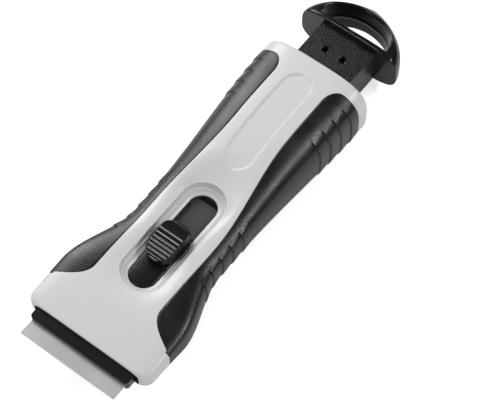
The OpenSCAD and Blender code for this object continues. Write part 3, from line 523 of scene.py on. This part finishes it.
def end_wall(y, sign, h_of, up):
    """Wall at the front or rear end of a grip, from the housing's side inwards."""
    edge = side_band([y], h_of, sign, up)[0]
    inner = np.stack([edge[:, 0] * 0.9 - sign * 0.44, edge[:, 1], edge[:, 2] * 0.8], -1)
    return np.stack([edge, inner])


MOUTH_Z, MOUTH_DEPTH = 2.45, 8.0


def lip_grid(front, up):
    """The lip of the mouth: from the skin's front edge round into the mouth and back along it."""
    rows = []
    reach = np.abs(front[:, 2]) - MOUTH_Z
    for t in quarter_turn:
        y, z = 0.6 * (1 - np.cos(t)), up * (MOUTH_Z + reach * (1 - np.sin(t)))
        rows.append(np.stack([front[:, 0], np.full(len(z), y), z], -1))
    deep = rows[-1].copy()
    deep[:, 1] = MOUTH_DEPTH
    return np.array(rows + [deep])


BAY_X, BAY_TOP, BAY_LOW = 12.75, 7.65, 9.85


def rear_face(h_of, up):
    """The housing's rear face, from its outline to the mouth of the drawer's bay, for one half."""
    t = np.linspace(0, np.pi, 81)
    n, a, h = float(power(BODY_L)), float(half_w(BODY_L)), float(h_of(BODY_L))
    x = a * np.abs(np.cos(t)) ** (2 / n) * np.sign(np.cos(t))
    z = h * np.clip(np.sin(t), 0, 1) ** (2 / n)
    if up < 0:
        z = np.minimum(z, FLAT)
    ring = np.stack([x, z], -1)
    bay_h = BAY_TOP if up > 0 else BAY_LOW
    scale = 1 / np.maximum(np.abs(x) / BAY_X, np.maximum(z, 1e-9) / bay_h)
    hole = ring * scale[:, None]
    both = np.array([ring + (hole - ring) * k for k in (0.0, 0.3, 0.65, 1.0)])
    y = np.full(both.shape[:2], BODY_L)
    return np.stack([both[..., 0], y, up * both[..., 1]], -1)


def half_shell(h_of, up):
    """The patches that both halves of the housing have: bands, walls beside the grips, rear face."""
    patches = []
    for sign in (-1, 1):
        patches.append((side_band(head_rows, h_of, sign, up), False, from_axis))
        patches.append((side_band(tail_rows, h_of, sign, up), False, from_axis))
        patches.append((strip_wall(sign, h_of, up), False, (sign, 0, 0)))
        patches.append((end_wall(GRIP_START, sign, h_of, up), False, (0, 1, 0)))
        patches.append((end_wall(GRIP_END, sign, h_of, up), False, (0, -1, 0)))
    patches.append((rear_face(h_of, up), False, (0, 1, 0)))
    return patches


slot_foot = crown_rings[0].copy()
slot_foot[:, 2] = 2.4
slot_wall = np.stack([crown_rings[0], slot_foot])
top_patches = [
    (crown_front, False, (0, 0, 1)),
    (crown_rings, True, (0, 0, 1)),
    (crown_rear, False, (0, 0, 1)),
    (slot_wall, True, lambda centre: np.array([0, 50, 3]) - centre),
    *half_shell(top_h, 1),
    (lip_grid(crown_front[0], 1), False, (0, -1, 0)),
]
make_piece("housing_top", top_patches, GREY, "handle", ["top_shell"])

# %% [markdown]
# ## The underside of the housing
#
# The lower half is the same loft without a slot. Its belly is cut level, which gives the flat that
# the scraper lies on. Two screws sit in round wells beside the waist. The other two are under the
# grips.
#
# A well is cut by leaving a square hole in the grid and filling it with a patch that turns the
# square into a circle. A boolean would cut it too, but it would spoil the smooth shading round it.

# %% Underside
WELL_X, WELL_Y, WELL_R, WELL_HALF, SEAT_Z = 10.825, 46.0, 2.6, 3.5, -9.4
WELL_EDGE = 0.35
under_rows = rows_of(front_rows, np.linspace(Y0, Y1, 121), rear_rows)


def soft_floor(depth):
    """The belly's level cut, eased over 0.2 mm so that its border isn't a crease."""
    k = 0.2
    m = np.clip(0.5 + 0.5 * (FLAT - depth) / k, 0, 1)
    return np.minimum(depth * m + FLAT * (1 - m) - k * m * (1 - m), FLAT)


def under_grid(rows):
    """Rows across the underside from one strip edge to the other, with the belly cut level."""
    y = np.repeat(rows[:, None], ACROSS + 1, 1)
    x = spread[None, :] * seam_w(y)
    return np.stack([x, y, -soft_floor(crown(x, y, under_h(y)) - UNDER_LIP * lip_drop(y))], -1)


def nearest(values, at):
    """Number of the value that is nearest to at."""
    return int(np.abs(values - at).argmin())


def well(grid, sign):
    """Patches of one screw well.

    They go from the square hole in the grid to a circle, round its rim, up its wall and over the seat
    of the screw.
    """
    loop = np.concatenate([grid[0, :-1], grid[:-1, -1], grid[-1, :0:-1], grid[:0:-1, 0]])
    centre = np.array([sign * WELL_X, WELL_Y])
    ray = loop[:, :2] - centre
    ray = ray / np.hypot(ray[:, 0], ray[:, 1])[:, None]
    rim = centre + ray * (WELL_R + WELL_EDGE)
    rows = [loop]
    for k in np.linspace(0, 1, 6)[1:]:
        xy = loop[:, :2] + (rim - loop[:, :2]) * k
        rows.append(np.column_stack([xy, -soft_floor(crown(xy[:, 0], xy[:, 1], under_h(xy[:, 1])))]))
    rim_z = rows[-1][:, 2]
    for t in np.linspace(0, np.pi / 2, 6)[1:]:
        xy = centre + ray * (WELL_R + WELL_EDGE * (1 - np.sin(t)))
        rows.append(np.column_stack([xy, rim_z + WELL_EDGE * (1 - np.cos(t))]))
    level = np.full(len(loop), SEAT_Z)
    foot = np.column_stack([rows[-1][:, :2], level])
    bore = np.column_stack([centre + ray * 1.4, level])
    middle = np.array([*centre, 0.0])
    return [
        (np.array(rows), True, (0, 0, -1)),
        (np.array([rows[-1], foot]), True, lambda c: (middle - c) * [1, 1, 0]),
        (np.array([foot, bore]), True, (0, 0, -1)),
    ]


belly = under_grid(under_rows)
first, last = nearest(under_rows, WELL_Y - WELL_HALF), nearest(under_rows, WELL_Y + WELL_HALF)
columns = spread * strip(WELL_Y)
cuts = [nearest(columns, sign * WELL_X + off) for sign in (-1, 1) for off in (-WELL_HALF, WELL_HALF)]
between = belly[first : last + 1]
whole = [belly[: first + 1], belly[last:]]
whole += [between[:, a : b + 1] for a, b in ((0, cuts[0]), (cuts[1], cuts[2]), (cuts[3], ACROSS))]
under_patches = [
    *[(part, False, (0, 0, -1)) for part in whole],
    *well(between[:, cuts[0] : cuts[1] + 1], -1),
    *well(between[:, cuts[2] : cuts[3] + 1], 1),
    *half_shell(under_h, -1),
    (lip_grid(belly[0], -1), False, (0, -1, 0)),
]
print("screw wells cut from rows", first, "to", last)
make_piece("housing_underside", under_patches, GREY, "handle", ["bottom_shell"])

# %% [markdown]
# ## The inside
#
# Through the slot, the mouth and the rear end an eye sees a little of the inside: the mouth in which
# the jaws slide, the carriage's channel and the drawer's bay. They are plain boxes turned inside out,
# in a darker grey that is painted shade: the housing's plastic is no darker inside.
# Where a piece moves from one to the next, the boxes are open.


# %% Inside walls
def sheet(a, b, facing):
    """A flat patch with the opposite corners a and b, which have one coordinate alike."""
    a, b = np.array(a, float), np.array(b, float)
    first, second = np.flatnonzero(a != b)
    c, d = a.copy(), a.copy()
    c[first], d[second] = b[first], b[second]
    return (np.array([[a, c], [d, b]]), False, facing)


def inside_box(x, y1, y2, z1, z2, open_sides):
    """The walls of a box seen from inside, without the sides that are open."""
    walls = {
        "low": ((-x, y1, z1), (x, y2, z1), (0, 0, 1)),
        "left": ((-x, y1, z1), (-x, y2, z2), (1, 0, 0)),
        "right": ((x, y1, z1), (x, y2, z2), (-1, 0, 0)),
        "top": ((-x, y1, z2), (x, y2, z2), (0, 0, -1)),
        "front": ((-x, y1, z1), (x, y1, z2), (0, 1, 0)),
        "rear": ((-x, y2, z1), (x, y2, z2), (0, -1, 0)),
    }
    return [sheet(*wall) for side, wall in walls.items() if side not in open_sides]


MOUTH_X, MOUTH_START, MOUTH_END, MOUTH_IN = 22.7, 0.6, 36.3, 2.4
CHANNEL_X, CHANNEL_END, CHANNEL_LOW, CHANNEL_TOP = 7.85, 87.3, -1.75, 2.35
BAY_START, INSET = 88.7, 0.05

inside = [
    *inside_box(MOUTH_X, MOUTH_START, MOUTH_END, -MOUTH_IN, MOUTH_IN, ["front", "rear", "top"]),
    *inside_box(CHANNEL_X, MOUTH_END, CHANNEL_END, CHANNEL_LOW, CHANNEL_TOP, ["front", "top"]),
    *inside_box(BAY_X - INSET, BAY_START, BODY_L - INSET, INSET - BAY_LOW, BAY_TOP - INSET, ["rear"]),
    sheet((-MOUTH_X, MOUTH_START, MOUTH_IN), (MOUTH_X, SLOT_Y - 0.2, MOUTH_IN), (0, 0, -1)),
    sheet((-MOUTH_X, MOUTH_END, -MOUTH_IN), (-CHANNEL_X, MOUTH_END, MOUTH_IN), (0, -1, 0)),
    sheet((CHANNEL_X, MOUTH_END, -MOUTH_IN), (MOUTH_X, MOUTH_END, MOUTH_IN), (0, -1, 0)),
    sheet((-CHANNEL_X, MOUTH_END, -MOUTH_IN), (CHANNEL_X, MOUTH_END, CHANNEL_LOW), (0, -1, 0)),
]
# The inside walls get the painted shade grey, not the housing's own colour.
make_piece("housing_inside", inside, PAINTED_SHADE_GREY, "handle", [], sharp=30)

# %% [markdown]
# ## The soft grips
#
# Each grip fills its pocket from the upper strip edge round the side to the lower one. On the real
# scraper it is moulded over the hard shell. Nine fine ribs cross it, five at the waist and four at
# the tail. Seen from the side they are saw teeth: a thin groove, a low crest behind it, and a long
# slope that sinks to the next groove. The ribs fade out before they reach the strip. The border is
# rounded, so that a thin dark line parts rubber and housing.
#
# The ribs are added to the formula of the side, so they follow its curve, which a bump couldn't show
# at the outline.

# %% Grips
RIB_STEP = 6.1
RIBS = [42 + RIB_STEP * k for k in range(5)] + [110.4 + RIB_STEP * k for k in range(4)]
GROOVE, BORDER_R = 0.12, 0.35


def rib(y):
    """Saw tooth of the ribs, as a height over the side.

    Before each line a thin notch, just behind it a crest of 0.3 mm, then a long slope that sinks
    towards the tail.
    """
    out = np.zeros_like(y)
    for at in RIBS:
        d = y - at
        notch = -0.24 * np.exp(-(((d + 0.3) / 0.2) ** 2))
        crest = 0.3 * smooth((d + 0.3) / 0.4) * (1 - smooth((d - 0.3) / 5.2))
        out = out + notch + crest
    return out


def grip_grid(sign):
    """Points of a grip: rows along the handle, columns from the upper strip edge to the lower one."""
    border = np.array([0, 0.05, 0.12, 0.22, 0.36])
    rows = rows_of(
        GRIP_START + GROOVE + border,
        np.linspace(13.2, 24.5, 40),
        np.linspace(24.5, 125, 150),
        np.linspace(125, 132.9, 34),
        GRIP_END - GROOVE - border,
        *[np.linspace(at - 1.2, at + 1.2, 17) for at in RIBS],
    )
    first = np.array([0, 0.004, 0.010, 0.018])
    s = np.concatenate([first, np.linspace(0.03, 0.97, 67), 1 - first[::-1]])
    grid = []
    for y in rows:
        a, n, top, under = float(half_w(y)), float(power(y)), float(top_h(y)), float(under_h(y))
        start = math.acos(min(1.0, (float(strip(np.array(y))) + GROOVE) / a) ** (n / 2))
        phi = start * (1 - 2 * s)
        swell = float(rib(np.array(y))) * (1 - smooth((np.abs(1 - 2 * s) - 0.46) / 0.26))
        side_gap = np.minimum(s, 1 - s) * 2 * start * 20
        end_gap = min(y - GRIP_START - GROOVE, GRIP_END - GROOVE - y)
        rub = swell - drawn_in(np.minimum(side_gap, end_gap), BORDER_R)
        x = (a + rub) * np.clip(np.cos(phi), 0, 1) ** (2 / n)
        z = (np.where(phi >= 0, top, under) + rub) * np.clip(np.abs(np.sin(phi)), 0, 1) ** (2 / n)
        z = np.where(phi < 0, -soft_floor(z), z)
        grid.append(np.stack([sign * x, np.full(len(s), y), z], -1))
    return np.array(grid)


for sign, side in ((-1, "left"), (1, "right")):
    patches = [(grip_grid(sign), False, from_axis)]
    make_piece(f"{side}_grip_rubber", patches, GRIP, "handle", [f"{side}_grip"], sharp=None)

# %% [markdown]
# ## The thumb button
#
# A block with a flat crown stands on a thin oval skirt. Its side view is a curve: a quarter ellipse
# for the nose, a straight line that climbs to the crest, and a long round back. Nine ridges stand on
# the nose and the line. Four of them have a step in the middle of their front flank, which splits the
# light that they catch into two thin lines. The block is that curve swept across a stadium, with
# rounded side edges, so the ridges run straight from side to side and the thumb can push both ways.
#
# Under the skirt a neck goes through the slot, and a plate slides under it with the button.

# %% Button
BTN_MID, SKIRT_X, SKIRT_Y, SKIRT_Z, FOOT_Z = 47.5, 7.8, 9.2, 5.57, 6.1
PAD_FRONT, PAD_BACK, PAD_HALF, CREST_Y, CREST_Z = 38.3, 56.5, 5.5, 48.5, 9.95
NOSE, CLIMB, RIDGE, LAST_RIDGE = 1.8, 1.6, 0.26, 0.38
STEPPED_RIDGES, PLAIN_RIDGE_Y, LAST_RIDGE_Y = [41.0, 42.6, 44.2, 45.8], 47.5, 49.5
PLATE_FRONT, PLATE_BACK, PLATE_R, NECK_X, NECK_Y = 27.7, 56.5, 5.5, 5.3, 7.9


def ridge(t, stepped=False):
    """Section of one ridge: its front flank climbs from -1 to 0, then it drops by 0.3.

    A stepped ridge climbs in the first and last third of the flank and is level between them.
    """
    plain = np.clip(1 + t, 0, 1)
    halves = 0.5 * np.clip((1 + t) / 0.34, 0, 1) + 0.5 * np.clip((t + 0.34) / 0.34, 0, 1)
    return np.where(t < 0, halves if stepped else plain, 1 - smooth(t / 0.3))


def pad_curve():
    """Side view of the pad from the front foot to the rear foot, as points of y and z."""
    t = np.linspace(0, np.pi / 2, 90)
    rise = CREST_Z - CLIMB - FOOT_Z
    nose = np.stack([PAD_FRONT + NOSE * (1 - np.cos(t)), FOOT_Z + rise * np.sin(t)], -1)
    lift = ridge((0.36 - t) / 0.22) + 0.6 * ridge((0.85 - t) / 0.15) + ridge((t - 1.3) / 0.17)
    front = nose + RIDGE * lift[:, None] * np.stack([-np.cos(t), np.sin(t)], -1)
    y = np.linspace(PAD_FRONT + NOSE, CREST_Y + 2.0, 420)[1:]
    z = CREST_Z - CLIMB * np.maximum(0, CREST_Y - y) / (CREST_Y - PAD_FRONT - NOSE)
    for at in STEPPED_RIDGES:
        z = z + RIDGE * ridge((y - at) / 0.66, stepped=True)
    z = z + RIDGE * ridge((y - PLAIN_RIDGE_Y) / 0.44) + LAST_RIDGE * ridge((y - LAST_RIDGE_Y) / 0.5)
    q = np.linspace(0, np.pi / 2, 60)
    fall = FOOT_Z + (CREST_Z - FOOT_Z) * np.cos(q) ** 1.3
    back = np.stack([CREST_Y + (PAD_BACK - CREST_Y) * np.sin(q), fall], -1)
    sunk = np.interp(y, back[:, 0], back[:, 1], left=CREST_Z) - CREST_Z
    return np.concatenate([front, np.stack([y, z + sunk], -1), back[back[:, 0] > y[-1] + 0.05]])


def pad_grid():
    """The pad's top: the side view swept across a stadium, with rounded side edges."""
    curve = pad_curve()
    across = np.sin(np.linspace(-np.pi / 2, np.pi / 2, 41))
    before = PAD_FRONT - 0.2 + PAD_HALF - curve[:, 0]
    behind = curve[:, 0] - PAD_BACK + PAD_HALF
    ends = np.maximum(np.maximum(before, behind), 0)
    half = np.sqrt(np.maximum(PAD_HALF**2 - ends**2, 0.01))[:, None]
    x = half * across[None, :]
    z = curve[:, 1][:, None] - drawn_in(half - np.abs(x), 0.25)
    return np.stack([x, np.repeat(curve[:, 0][:, None], 41, 1), z], -1)


def pad_wall(edge):
    """Side wall of the pad: from its edge down to the skirt, flared outwards by 15 percent."""
    rows = []
    for k in np.linspace(0, 1, 7):
        z = edge[:, 2] + (SKIRT_Z + 0.3 - edge[:, 2]) * k
        rows.append(np.stack([edge[:, 0] * (1 + 0.15 * k**2), edge[:, 1], z], -1))
    return np.array(rows)


def oval(reach_x, reach_y, z):
    """A level oval of 160 points round the middle of the button."""
    t = np.linspace(0, 2 * np.pi, 161)[:-1]
    return np.stack([reach_x * np.cos(t), BTN_MID + reach_y * np.sin(t), np.full(160, z)], -1)


def skirt_grid():
    """The skirt: ovals from under the pad outwards, over the rounded rim and back underneath."""
    rows = []
    for k in np.linspace(0, 1, 10):
        reach_x = PAD_HALF + (SKIRT_X - 0.5 - PAD_HALF) * k
        rows.append(oval(reach_x, SKIRT_Y - 0.9 + 0.6 * k, FOOT_Z + 0.3 * (1 - k) ** 2))
    for q in np.linspace(0, np.pi / 2, 6)[1:]:
        reach_x, reach_y = SKIRT_X - 0.5 + 0.5 * np.sin(q), SKIRT_Y - 0.3 + 0.3 * np.sin(q)
        rows.append(oval(reach_x, reach_y, FOOT_Z - 0.45 * (1 - np.cos(q))))
    for scale in (1.0, 0.6):
        rows.append(oval(SKIRT_X * scale, SKIRT_Y * scale, SKIRT_Z))
    return np.array(rows)


def plate_grid():
    """The plate in the slot: a stadium with a rounded upper edge, from its middle line outwards."""
    a = np.concatenate([np.linspace(-np.pi, 0, 25), np.linspace(0, np.pi, 25)])
    middle = np.repeat([PLATE_FRONT + PLATE_R, PLATE_BACK - PLATE_R], 25)
    rows = []
    for inset, z in ((PLATE_R, 3.45), (0.35, 3.45), (0.1, 3.4), (0, 3.25), (0, 2.0)):
        r = PLATE_R - inset
        rows.append(np.stack([r * np.cos(a), middle + r * np.sin(a), np.full(50, z)], -1))
    return np.array(rows)


pad = pad_grid()
neck = np.array([oval(NECK_X, NECK_Y, z) for z in (3.4, SKIRT_Z + 0.2)])
button_patches = [
    (pad, False, (0, -0.3, 1)),
    (pad_wall(pad[:, 0]), False, (-1, 0, 0)),
    (pad_wall(pad[:, -1]), False, (1, 0, 0)),
    (skirt_grid(), True, (0, 0, 1)),
    (plate_grid(), True, (0, 0, 1)),
    (neck, True, lambda c: (c - [0, BTN_MID, 0]) * [1, 1, 0]),
]
make_piece("thumb_button_pad", button_patches, BLACK, "button", ["thumb_button"], sharp=50)

# %% [markdown]
# ## The ring
#
# The ring closes the drawer and is pulled by a finger. In plan it is a flat flange with a domed arc
# behind it, and its loop is a D with the straight bar in front. Rays from the middle of the loop
# carry the surface: from the loop's rim over the top to the outline, and up the loop's inner wall,
# which has a fine ridge at half height. The lower half mirrors the upper one.

# %% Ring
FLANGE_W, FLANGE_H, OUTLINE_POWER, DOME_POWER = 0.8, 5.0, 1.64, 3.8
LOOP_FRONT, LOOP_BACK = RING_FRONT + 2.2, RING_FRONT + RING_L - 3.6
LOOP_X, LOOP_MIDDLE, LOOP_R = RING_W / 2 * 0.80 - 2.4, RING_FRONT + 6.0, 1.3


def ring_reach(y):
    """How far along the ring y lies, from 0 to 1, and half the ring's width there."""
    u = np.clip((y - RING_FRONT - FLANGE_W) / (RING_L - FLANGE_W), 0, 1)
    return u, RING_W / 2 * np.clip(1 - u**OUTLINE_POWER, 0, 1) ** (1 / OUTLINE_POWER)


def ring_span(x, y):
    """Half height of the ring's body over the point (x, y), and nothing outside its outline."""
    u, a = ring_reach(y)
    b = FLANGE_H + (RING_H / 2 - FLANGE_H) * (1 - u**3)
    fade = np.clip(1 - (np.abs(x) / np.maximum(a, 1e-6)) ** DOME_POWER, 0, 1) ** (1 / DOME_POWER)
    return b * fade - drawn_in(np.maximum(y - RING_FRONT, 0), FLANGE_W)


def loop_edge():
    """Outline of the loop: an arc behind and a straight bar in front."""
    t = np.linspace(0, np.pi, 121)
    x = LOOP_X * np.cos(t)
    y = LOOP_FRONT + (LOOP_BACK - LOOP_FRONT) * np.clip(np.sin(t), 0, 1) ** 0.85
    bar = np.linspace(-1, 1, 81)[1:-1] * x[0]
    return np.concatenate([x, bar]), np.concatenate([y, np.full(len(bar), LOOP_FRONT)])


def ray_outline(dx, dy):
    """Distance from the loop's middle along the direction (dx, dy) to the outline, by halving."""
    low, high = np.zeros_like(dx), np.full_like(dx, 60.0)
    for _ in range(40):
        mid = (low + high) / 2
        x, y = dx * mid, LOOP_MIDDLE + dy * mid
        within = (y >= RING_FRONT) & (np.abs(x) <= ring_reach(y)[1]) & (y <= RING_FRONT + RING_L)
        low, high = np.where(within, mid, low), np.where(within, high, mid)
    return low


def ring_patches():
    """Sections of the ring on rays from the middle of its loop, closed round the loop."""
    dx, dy = loop_edge()
    dy = dy - LOOP_MIDDLE
    hole = np.hypot(dx, dy)
    dx, dy = dx / hole, dy / hole
    out = ray_outline(dx, dy)
    rows = []
    for k in np.sin(np.linspace(0, np.pi / 2, 30)) ** 1.15:
        rho = hole + (out - hole) * k
        x, y = dx * rho, LOOP_MIDDLE + dy * rho
        z = ring_span(x, y) - drawn_in(np.minimum(rho - hole, LOOP_R), LOOP_R)
        rows.append(np.stack([x, y, z], -1))
    rows = np.array(rows)
    rim = rows[0, :, 2]
    wall = [rows[0]]
    for k in np.linspace(1, 0, 14)[1:]:
        reach = hole - 0.35 * np.exp(-((k * rim) ** 2) / 0.35) - 0.35 * (1 - k)
        wall.append(np.stack([dx * reach, LOOP_MIDDLE + dy * reach, rim * k], -1))
    wall = np.array(wall)
    x = np.linspace(-RING_W / 2, RING_W / 2, 91)
    y = np.full_like(x, RING_FRONT)
    face = np.array([np.stack([x, y, ring_span(x, y) * k], -1) for k in np.linspace(1, -1, 6)])
    inwards = lambda centre: [0.0, LOOP_MIDDLE, 0.0] - centre
    flip = np.array([1, 1, -1])
    return [
        (rows, True, (0, 0, 1)),
        (rows * flip, True, (0, 0, -1)),
        (wall, True, inwards),
        (wall * flip, True, inwards),
        (face, False, (0, -1, 0)),
    ]


make_piece("drawer_ring", ring_patches(), GLOSS, "drawer", ["ring_handle"], sharp=50)

# %% [markdown]
# Two square windows in the drawer's roof show the lugs of the ring's tongue. Each has a fine raised
# rim, a half round swept along a rounded square.

# %% Window rims
WINDOW_X, WINDOW_Y, WINDOW_Z, WINDOW_SIDE, RIM_R, RIM_H = 4.1, RING_FRONT - 9.8, 7.3, 2.4, 0.28, 0.2


def window_rim(x):
    """Half round along a rounded square: its outline is a superellipse with the exponent 9."""
    t = np.linspace(0, 2 * np.pi, 97)[:-1]
    out_x = np.sign(np.cos(t)) * np.abs(np.cos(t)) ** (2 / 9)
    out_y = np.sign(np.sin(t)) * np.abs(np.sin(t)) ** (2 / 9)
    rows = []
    for a in np.linspace(0, np.pi, 9):
        half = WINDOW_SIDE / 2 + RIM_R + RIM_R * np.cos(a)
        z = np.full(96, WINDOW_Z + RIM_H * np.sin(a))
        rows.append(np.stack([x + half * out_x, WINDOW_Y + half * out_y, z], -1))
    return (np.array(rows), True, (0, 0, 1))


rims = [window_rim(-WINDOW_X), window_rim(WINDOW_X)]
make_piece("window_rims", rims, BLACK, "drawer", [], sharp=None)

# %% [markdown]
# ## The flat-sided pieces
#
# Jaws, blade, drawer, carriage and box are plain moulded or stamped shapes. Their CAD form is shown,
# with the sharp edges of the moulded ones rounded by a fraction of a millimetre, because a real edge
# always catches a thin line of light. A bevel modifier does that without touching the mesh.

# %% Materials and rounded edges of the CAD pieces
LOOKS = {
    "housing_screws": (ZINC, 0.0),
    "jaw_screws": (ZINC, 0.0),
    "button_spring": (ZINC, 0.0),
    "carriage": (PLATE, 0.2),
    "lower_jaw": (BLACK, 0.25),
    "upper_jaw": (BLACK, 0.35),
    "blade": (STEEL, 0.0),
    "drawer_case": (DRAWER, 0.16),
    "drawer_floor": (DRAWER, 0.25),
    "blade_box": (GLOSS, 0.15),
}
for i in range(1, 6):
    LOOKS[f"spare_blade_{i}"] = (STEEL, 0.0)
for node, (material, edge) in LOOKS.items():
    obj = frame["nodes"][node]
    obj.data.materials.clear()
    obj.data.materials.append(material)
    if edge:
        bevel = obj.modifiers.new("rounded edges", "BEVEL")
        bevel.width = edge * 0.001
        bevel.segments = 3
        bevel.limit_method = "ANGLE"
        bevel.angle_limit = math.radians(35)
        bevel.harden_normals = True
print("dressed", len(LOOKS), "CAD pieces")

# %% [markdown]
# ## Light and floor
#
# The photo is a catalogue picture on pure white. The main light is large and soft and stands to the
# left and a little behind. A long thin strip to the right draws the soft streaks on the grips and
# the ring, and a small light in front shows on the flanks of the button's ridges. The white room
# gives an even fill, but black gloss would mirror it as grey, so glossy rays see it much dimmer.
#
# The background is white for the camera alone. The floor takes the shadow and glows a little, so
# that it comes out white too.

# %% Studio
scene = bpy.context.scene


def area(name, where, target, width, height, watts):
    """A rectangular soft light at a place, turned to a target, its height upwards."""
    data = bpy.data.lights.new(name, "AREA")
    data.shape = "RECTANGLE"
    data.energy, data.size, data.size_y = watts, width, height
    lamp = bpy.data.objects.new(name, data)
    lamp.location = where
    lamp.rotation_euler = (Vector(target) - Vector(where)).to_track_quat("-Z", "Y").to_euler()
    scene.collection.objects.link(lamp)
    print("light", name, watts, "W")


def white_room():
    """The world: white for the camera, a grey fill for the rest, dimmer for glossy rays."""
    world_data = bpy.data.worlds.new("white room")
    world_data.use_nodes = True
    nodes, links = world_data.node_tree.nodes, world_data.node_tree.links
    nodes.clear()
    output = nodes.new("ShaderNodeOutputWorld")
    mix = nodes.new("ShaderNodeMixShader")
    path = nodes.new("ShaderNodeLightPath")
    strength = nodes.new("ShaderNodeMapRange")
    room = nodes.new("ShaderNodeBackground")
    white = nodes.new("ShaderNodeBackground")
    strength.inputs["To Min"].default_value = 0.46
    strength.inputs["To Max"].default_value = 0.06
    room.inputs["Color"].default_value = (0.9, 0.9, 0.9, 1)
    white.inputs["Color"].default_value = (1, 1, 1, 1)
    white.inputs["Strength"].default_value = 1.0
    links.new(path.outputs["Is Glossy Ray"], strength.inputs["Value"])
    links.new(strength.outputs["Result"], room.inputs["Strength"])
    links.new(path.outputs["Is Camera Ray"], mix.inputs["Fac"])
    links.new(room.outputs["Background"], mix.inputs[1])
    links.new(white.outputs["Background"], mix.inputs[2])
    links.new(mix.outputs["Shader"], output.inputs["Surface"])
    return world_data


def white_floor():
    """The floor's finish: matt white, with a little light of its own for the camera."""
    mat = bpy.data.materials.new("white floor")
    mat.use_nodes = True
    nodes, links = mat.node_tree.nodes, mat.node_tree.links
    base = nodes["Principled BSDF"]
    base.inputs["Base Color"].default_value = (0.9, 0.9, 0.9, 1)
    base.inputs["Roughness"].default_value = 0.9
    lit = nodes.new("ShaderNodeEmission")
    path = nodes.new("ShaderNodeLightPath")
    both = nodes.new("ShaderNodeAddShader")
    glow = nodes.new("ShaderNodeMath")
    glow.operation = "MULTIPLY"
    glow.inputs[1].default_value = 0.55
    links.new(path.outputs["Is Camera Ray"], glow.inputs[0])
    links.new(glow.outputs["Value"], lit.inputs["Strength"])
    links.new(base.outputs["BSDF"], both.inputs[0])
    links.new(lit.outputs["Emission"], both.inputs[1])
    links.new(both.outputs["Shader"], nodes["Material Output"].inputs["Surface"])
    return mat


area("left", (-0.54, 0.22, 0.42), (0, -0.02, 0), 0.36, 0.42, 3.3)
area("right strip", (0.45, 0.20, 0.50), (0, 0, 0), 0.4, 0.05, 1.9)
area("front", (-0.22, -0.56, 0.44), (0, -0.03, 0), 0.25, 0.12, 1.3)
scene.world = white_room()

FLOOR_HALF, FLOOR_Z = 3.0, -0.0002
corners = [(FLOOR_HALF * x, FLOOR_HALF * y, FLOOR_Z) for x, y in ((-1, -1), (1, -1), (1, 1), (-1, 1))]
floor_mesh = bpy.data.meshes.new("floor")
floor_mesh.from_pydata(corners, [], [(0, 1, 2, 3)])
floor_mesh.materials.append(white_floor())
floor = bpy.data.objects.new("floor", floor_mesh)
scene.collection.objects.link(floor)

# %% [markdown]
# ## Camera
#
# The camera stands where it fits the photo: 37 degrees to the side and 60 degrees up, with a long
# lens. Its place was found by matching the outline of the whole scraper. The scraper isn't in the
# middle of the photo, so the camera is shifted by whole pixels of the photo, which is 500 wide.

# %% Camera
AZIMUTH, ELEVATION = math.radians(37.293), math.radians(60.3)
PHOTO_W, FOCAL_PX, DISTANCE, SENSOR = 500, 2022.0, 743.9, 36
SHIFT_RIGHT_PX, SHIFT_UP_PX = 60, 25
AIM = Vector((0, 60.0 - Y_MIDDLE, 1.16 + FLAT))

back = Vector((
    math.sin(AZIMUTH) * math.cos(ELEVATION),
    -math.cos(AZIMUTH) * math.cos(ELEVATION),
    math.sin(ELEVATION),
))
right = Vector((math.cos(AZIMUTH), math.sin(AZIMUTH), 0))
up = back.cross(right)
mm_per_px = DISTANCE / FOCAL_PX
place = AIM + back * DISTANCE + (right * SHIFT_RIGHT_PX + up * SHIFT_UP_PX) * mm_per_px
camera_data = bpy.data.cameras.new("camera")
camera_data.lens = FOCAL_PX / PHOTO_W * SENSOR
camera_data.sensor_width = SENSOR
camera_data.clip_start, camera_data.clip_end = 0.01, 10
camera = bpy.data.objects.new("camera", camera_data)
camera.location = place * 0.001
camera.rotation_euler = (math.pi / 2 - ELEVATION, 0, AZIMUTH)
scene.collection.objects.link(camera)
scene.camera = camera
scene.view_settings.view_transform = "Standard"
print("camera at", [round(c, 4) for c in camera.location])
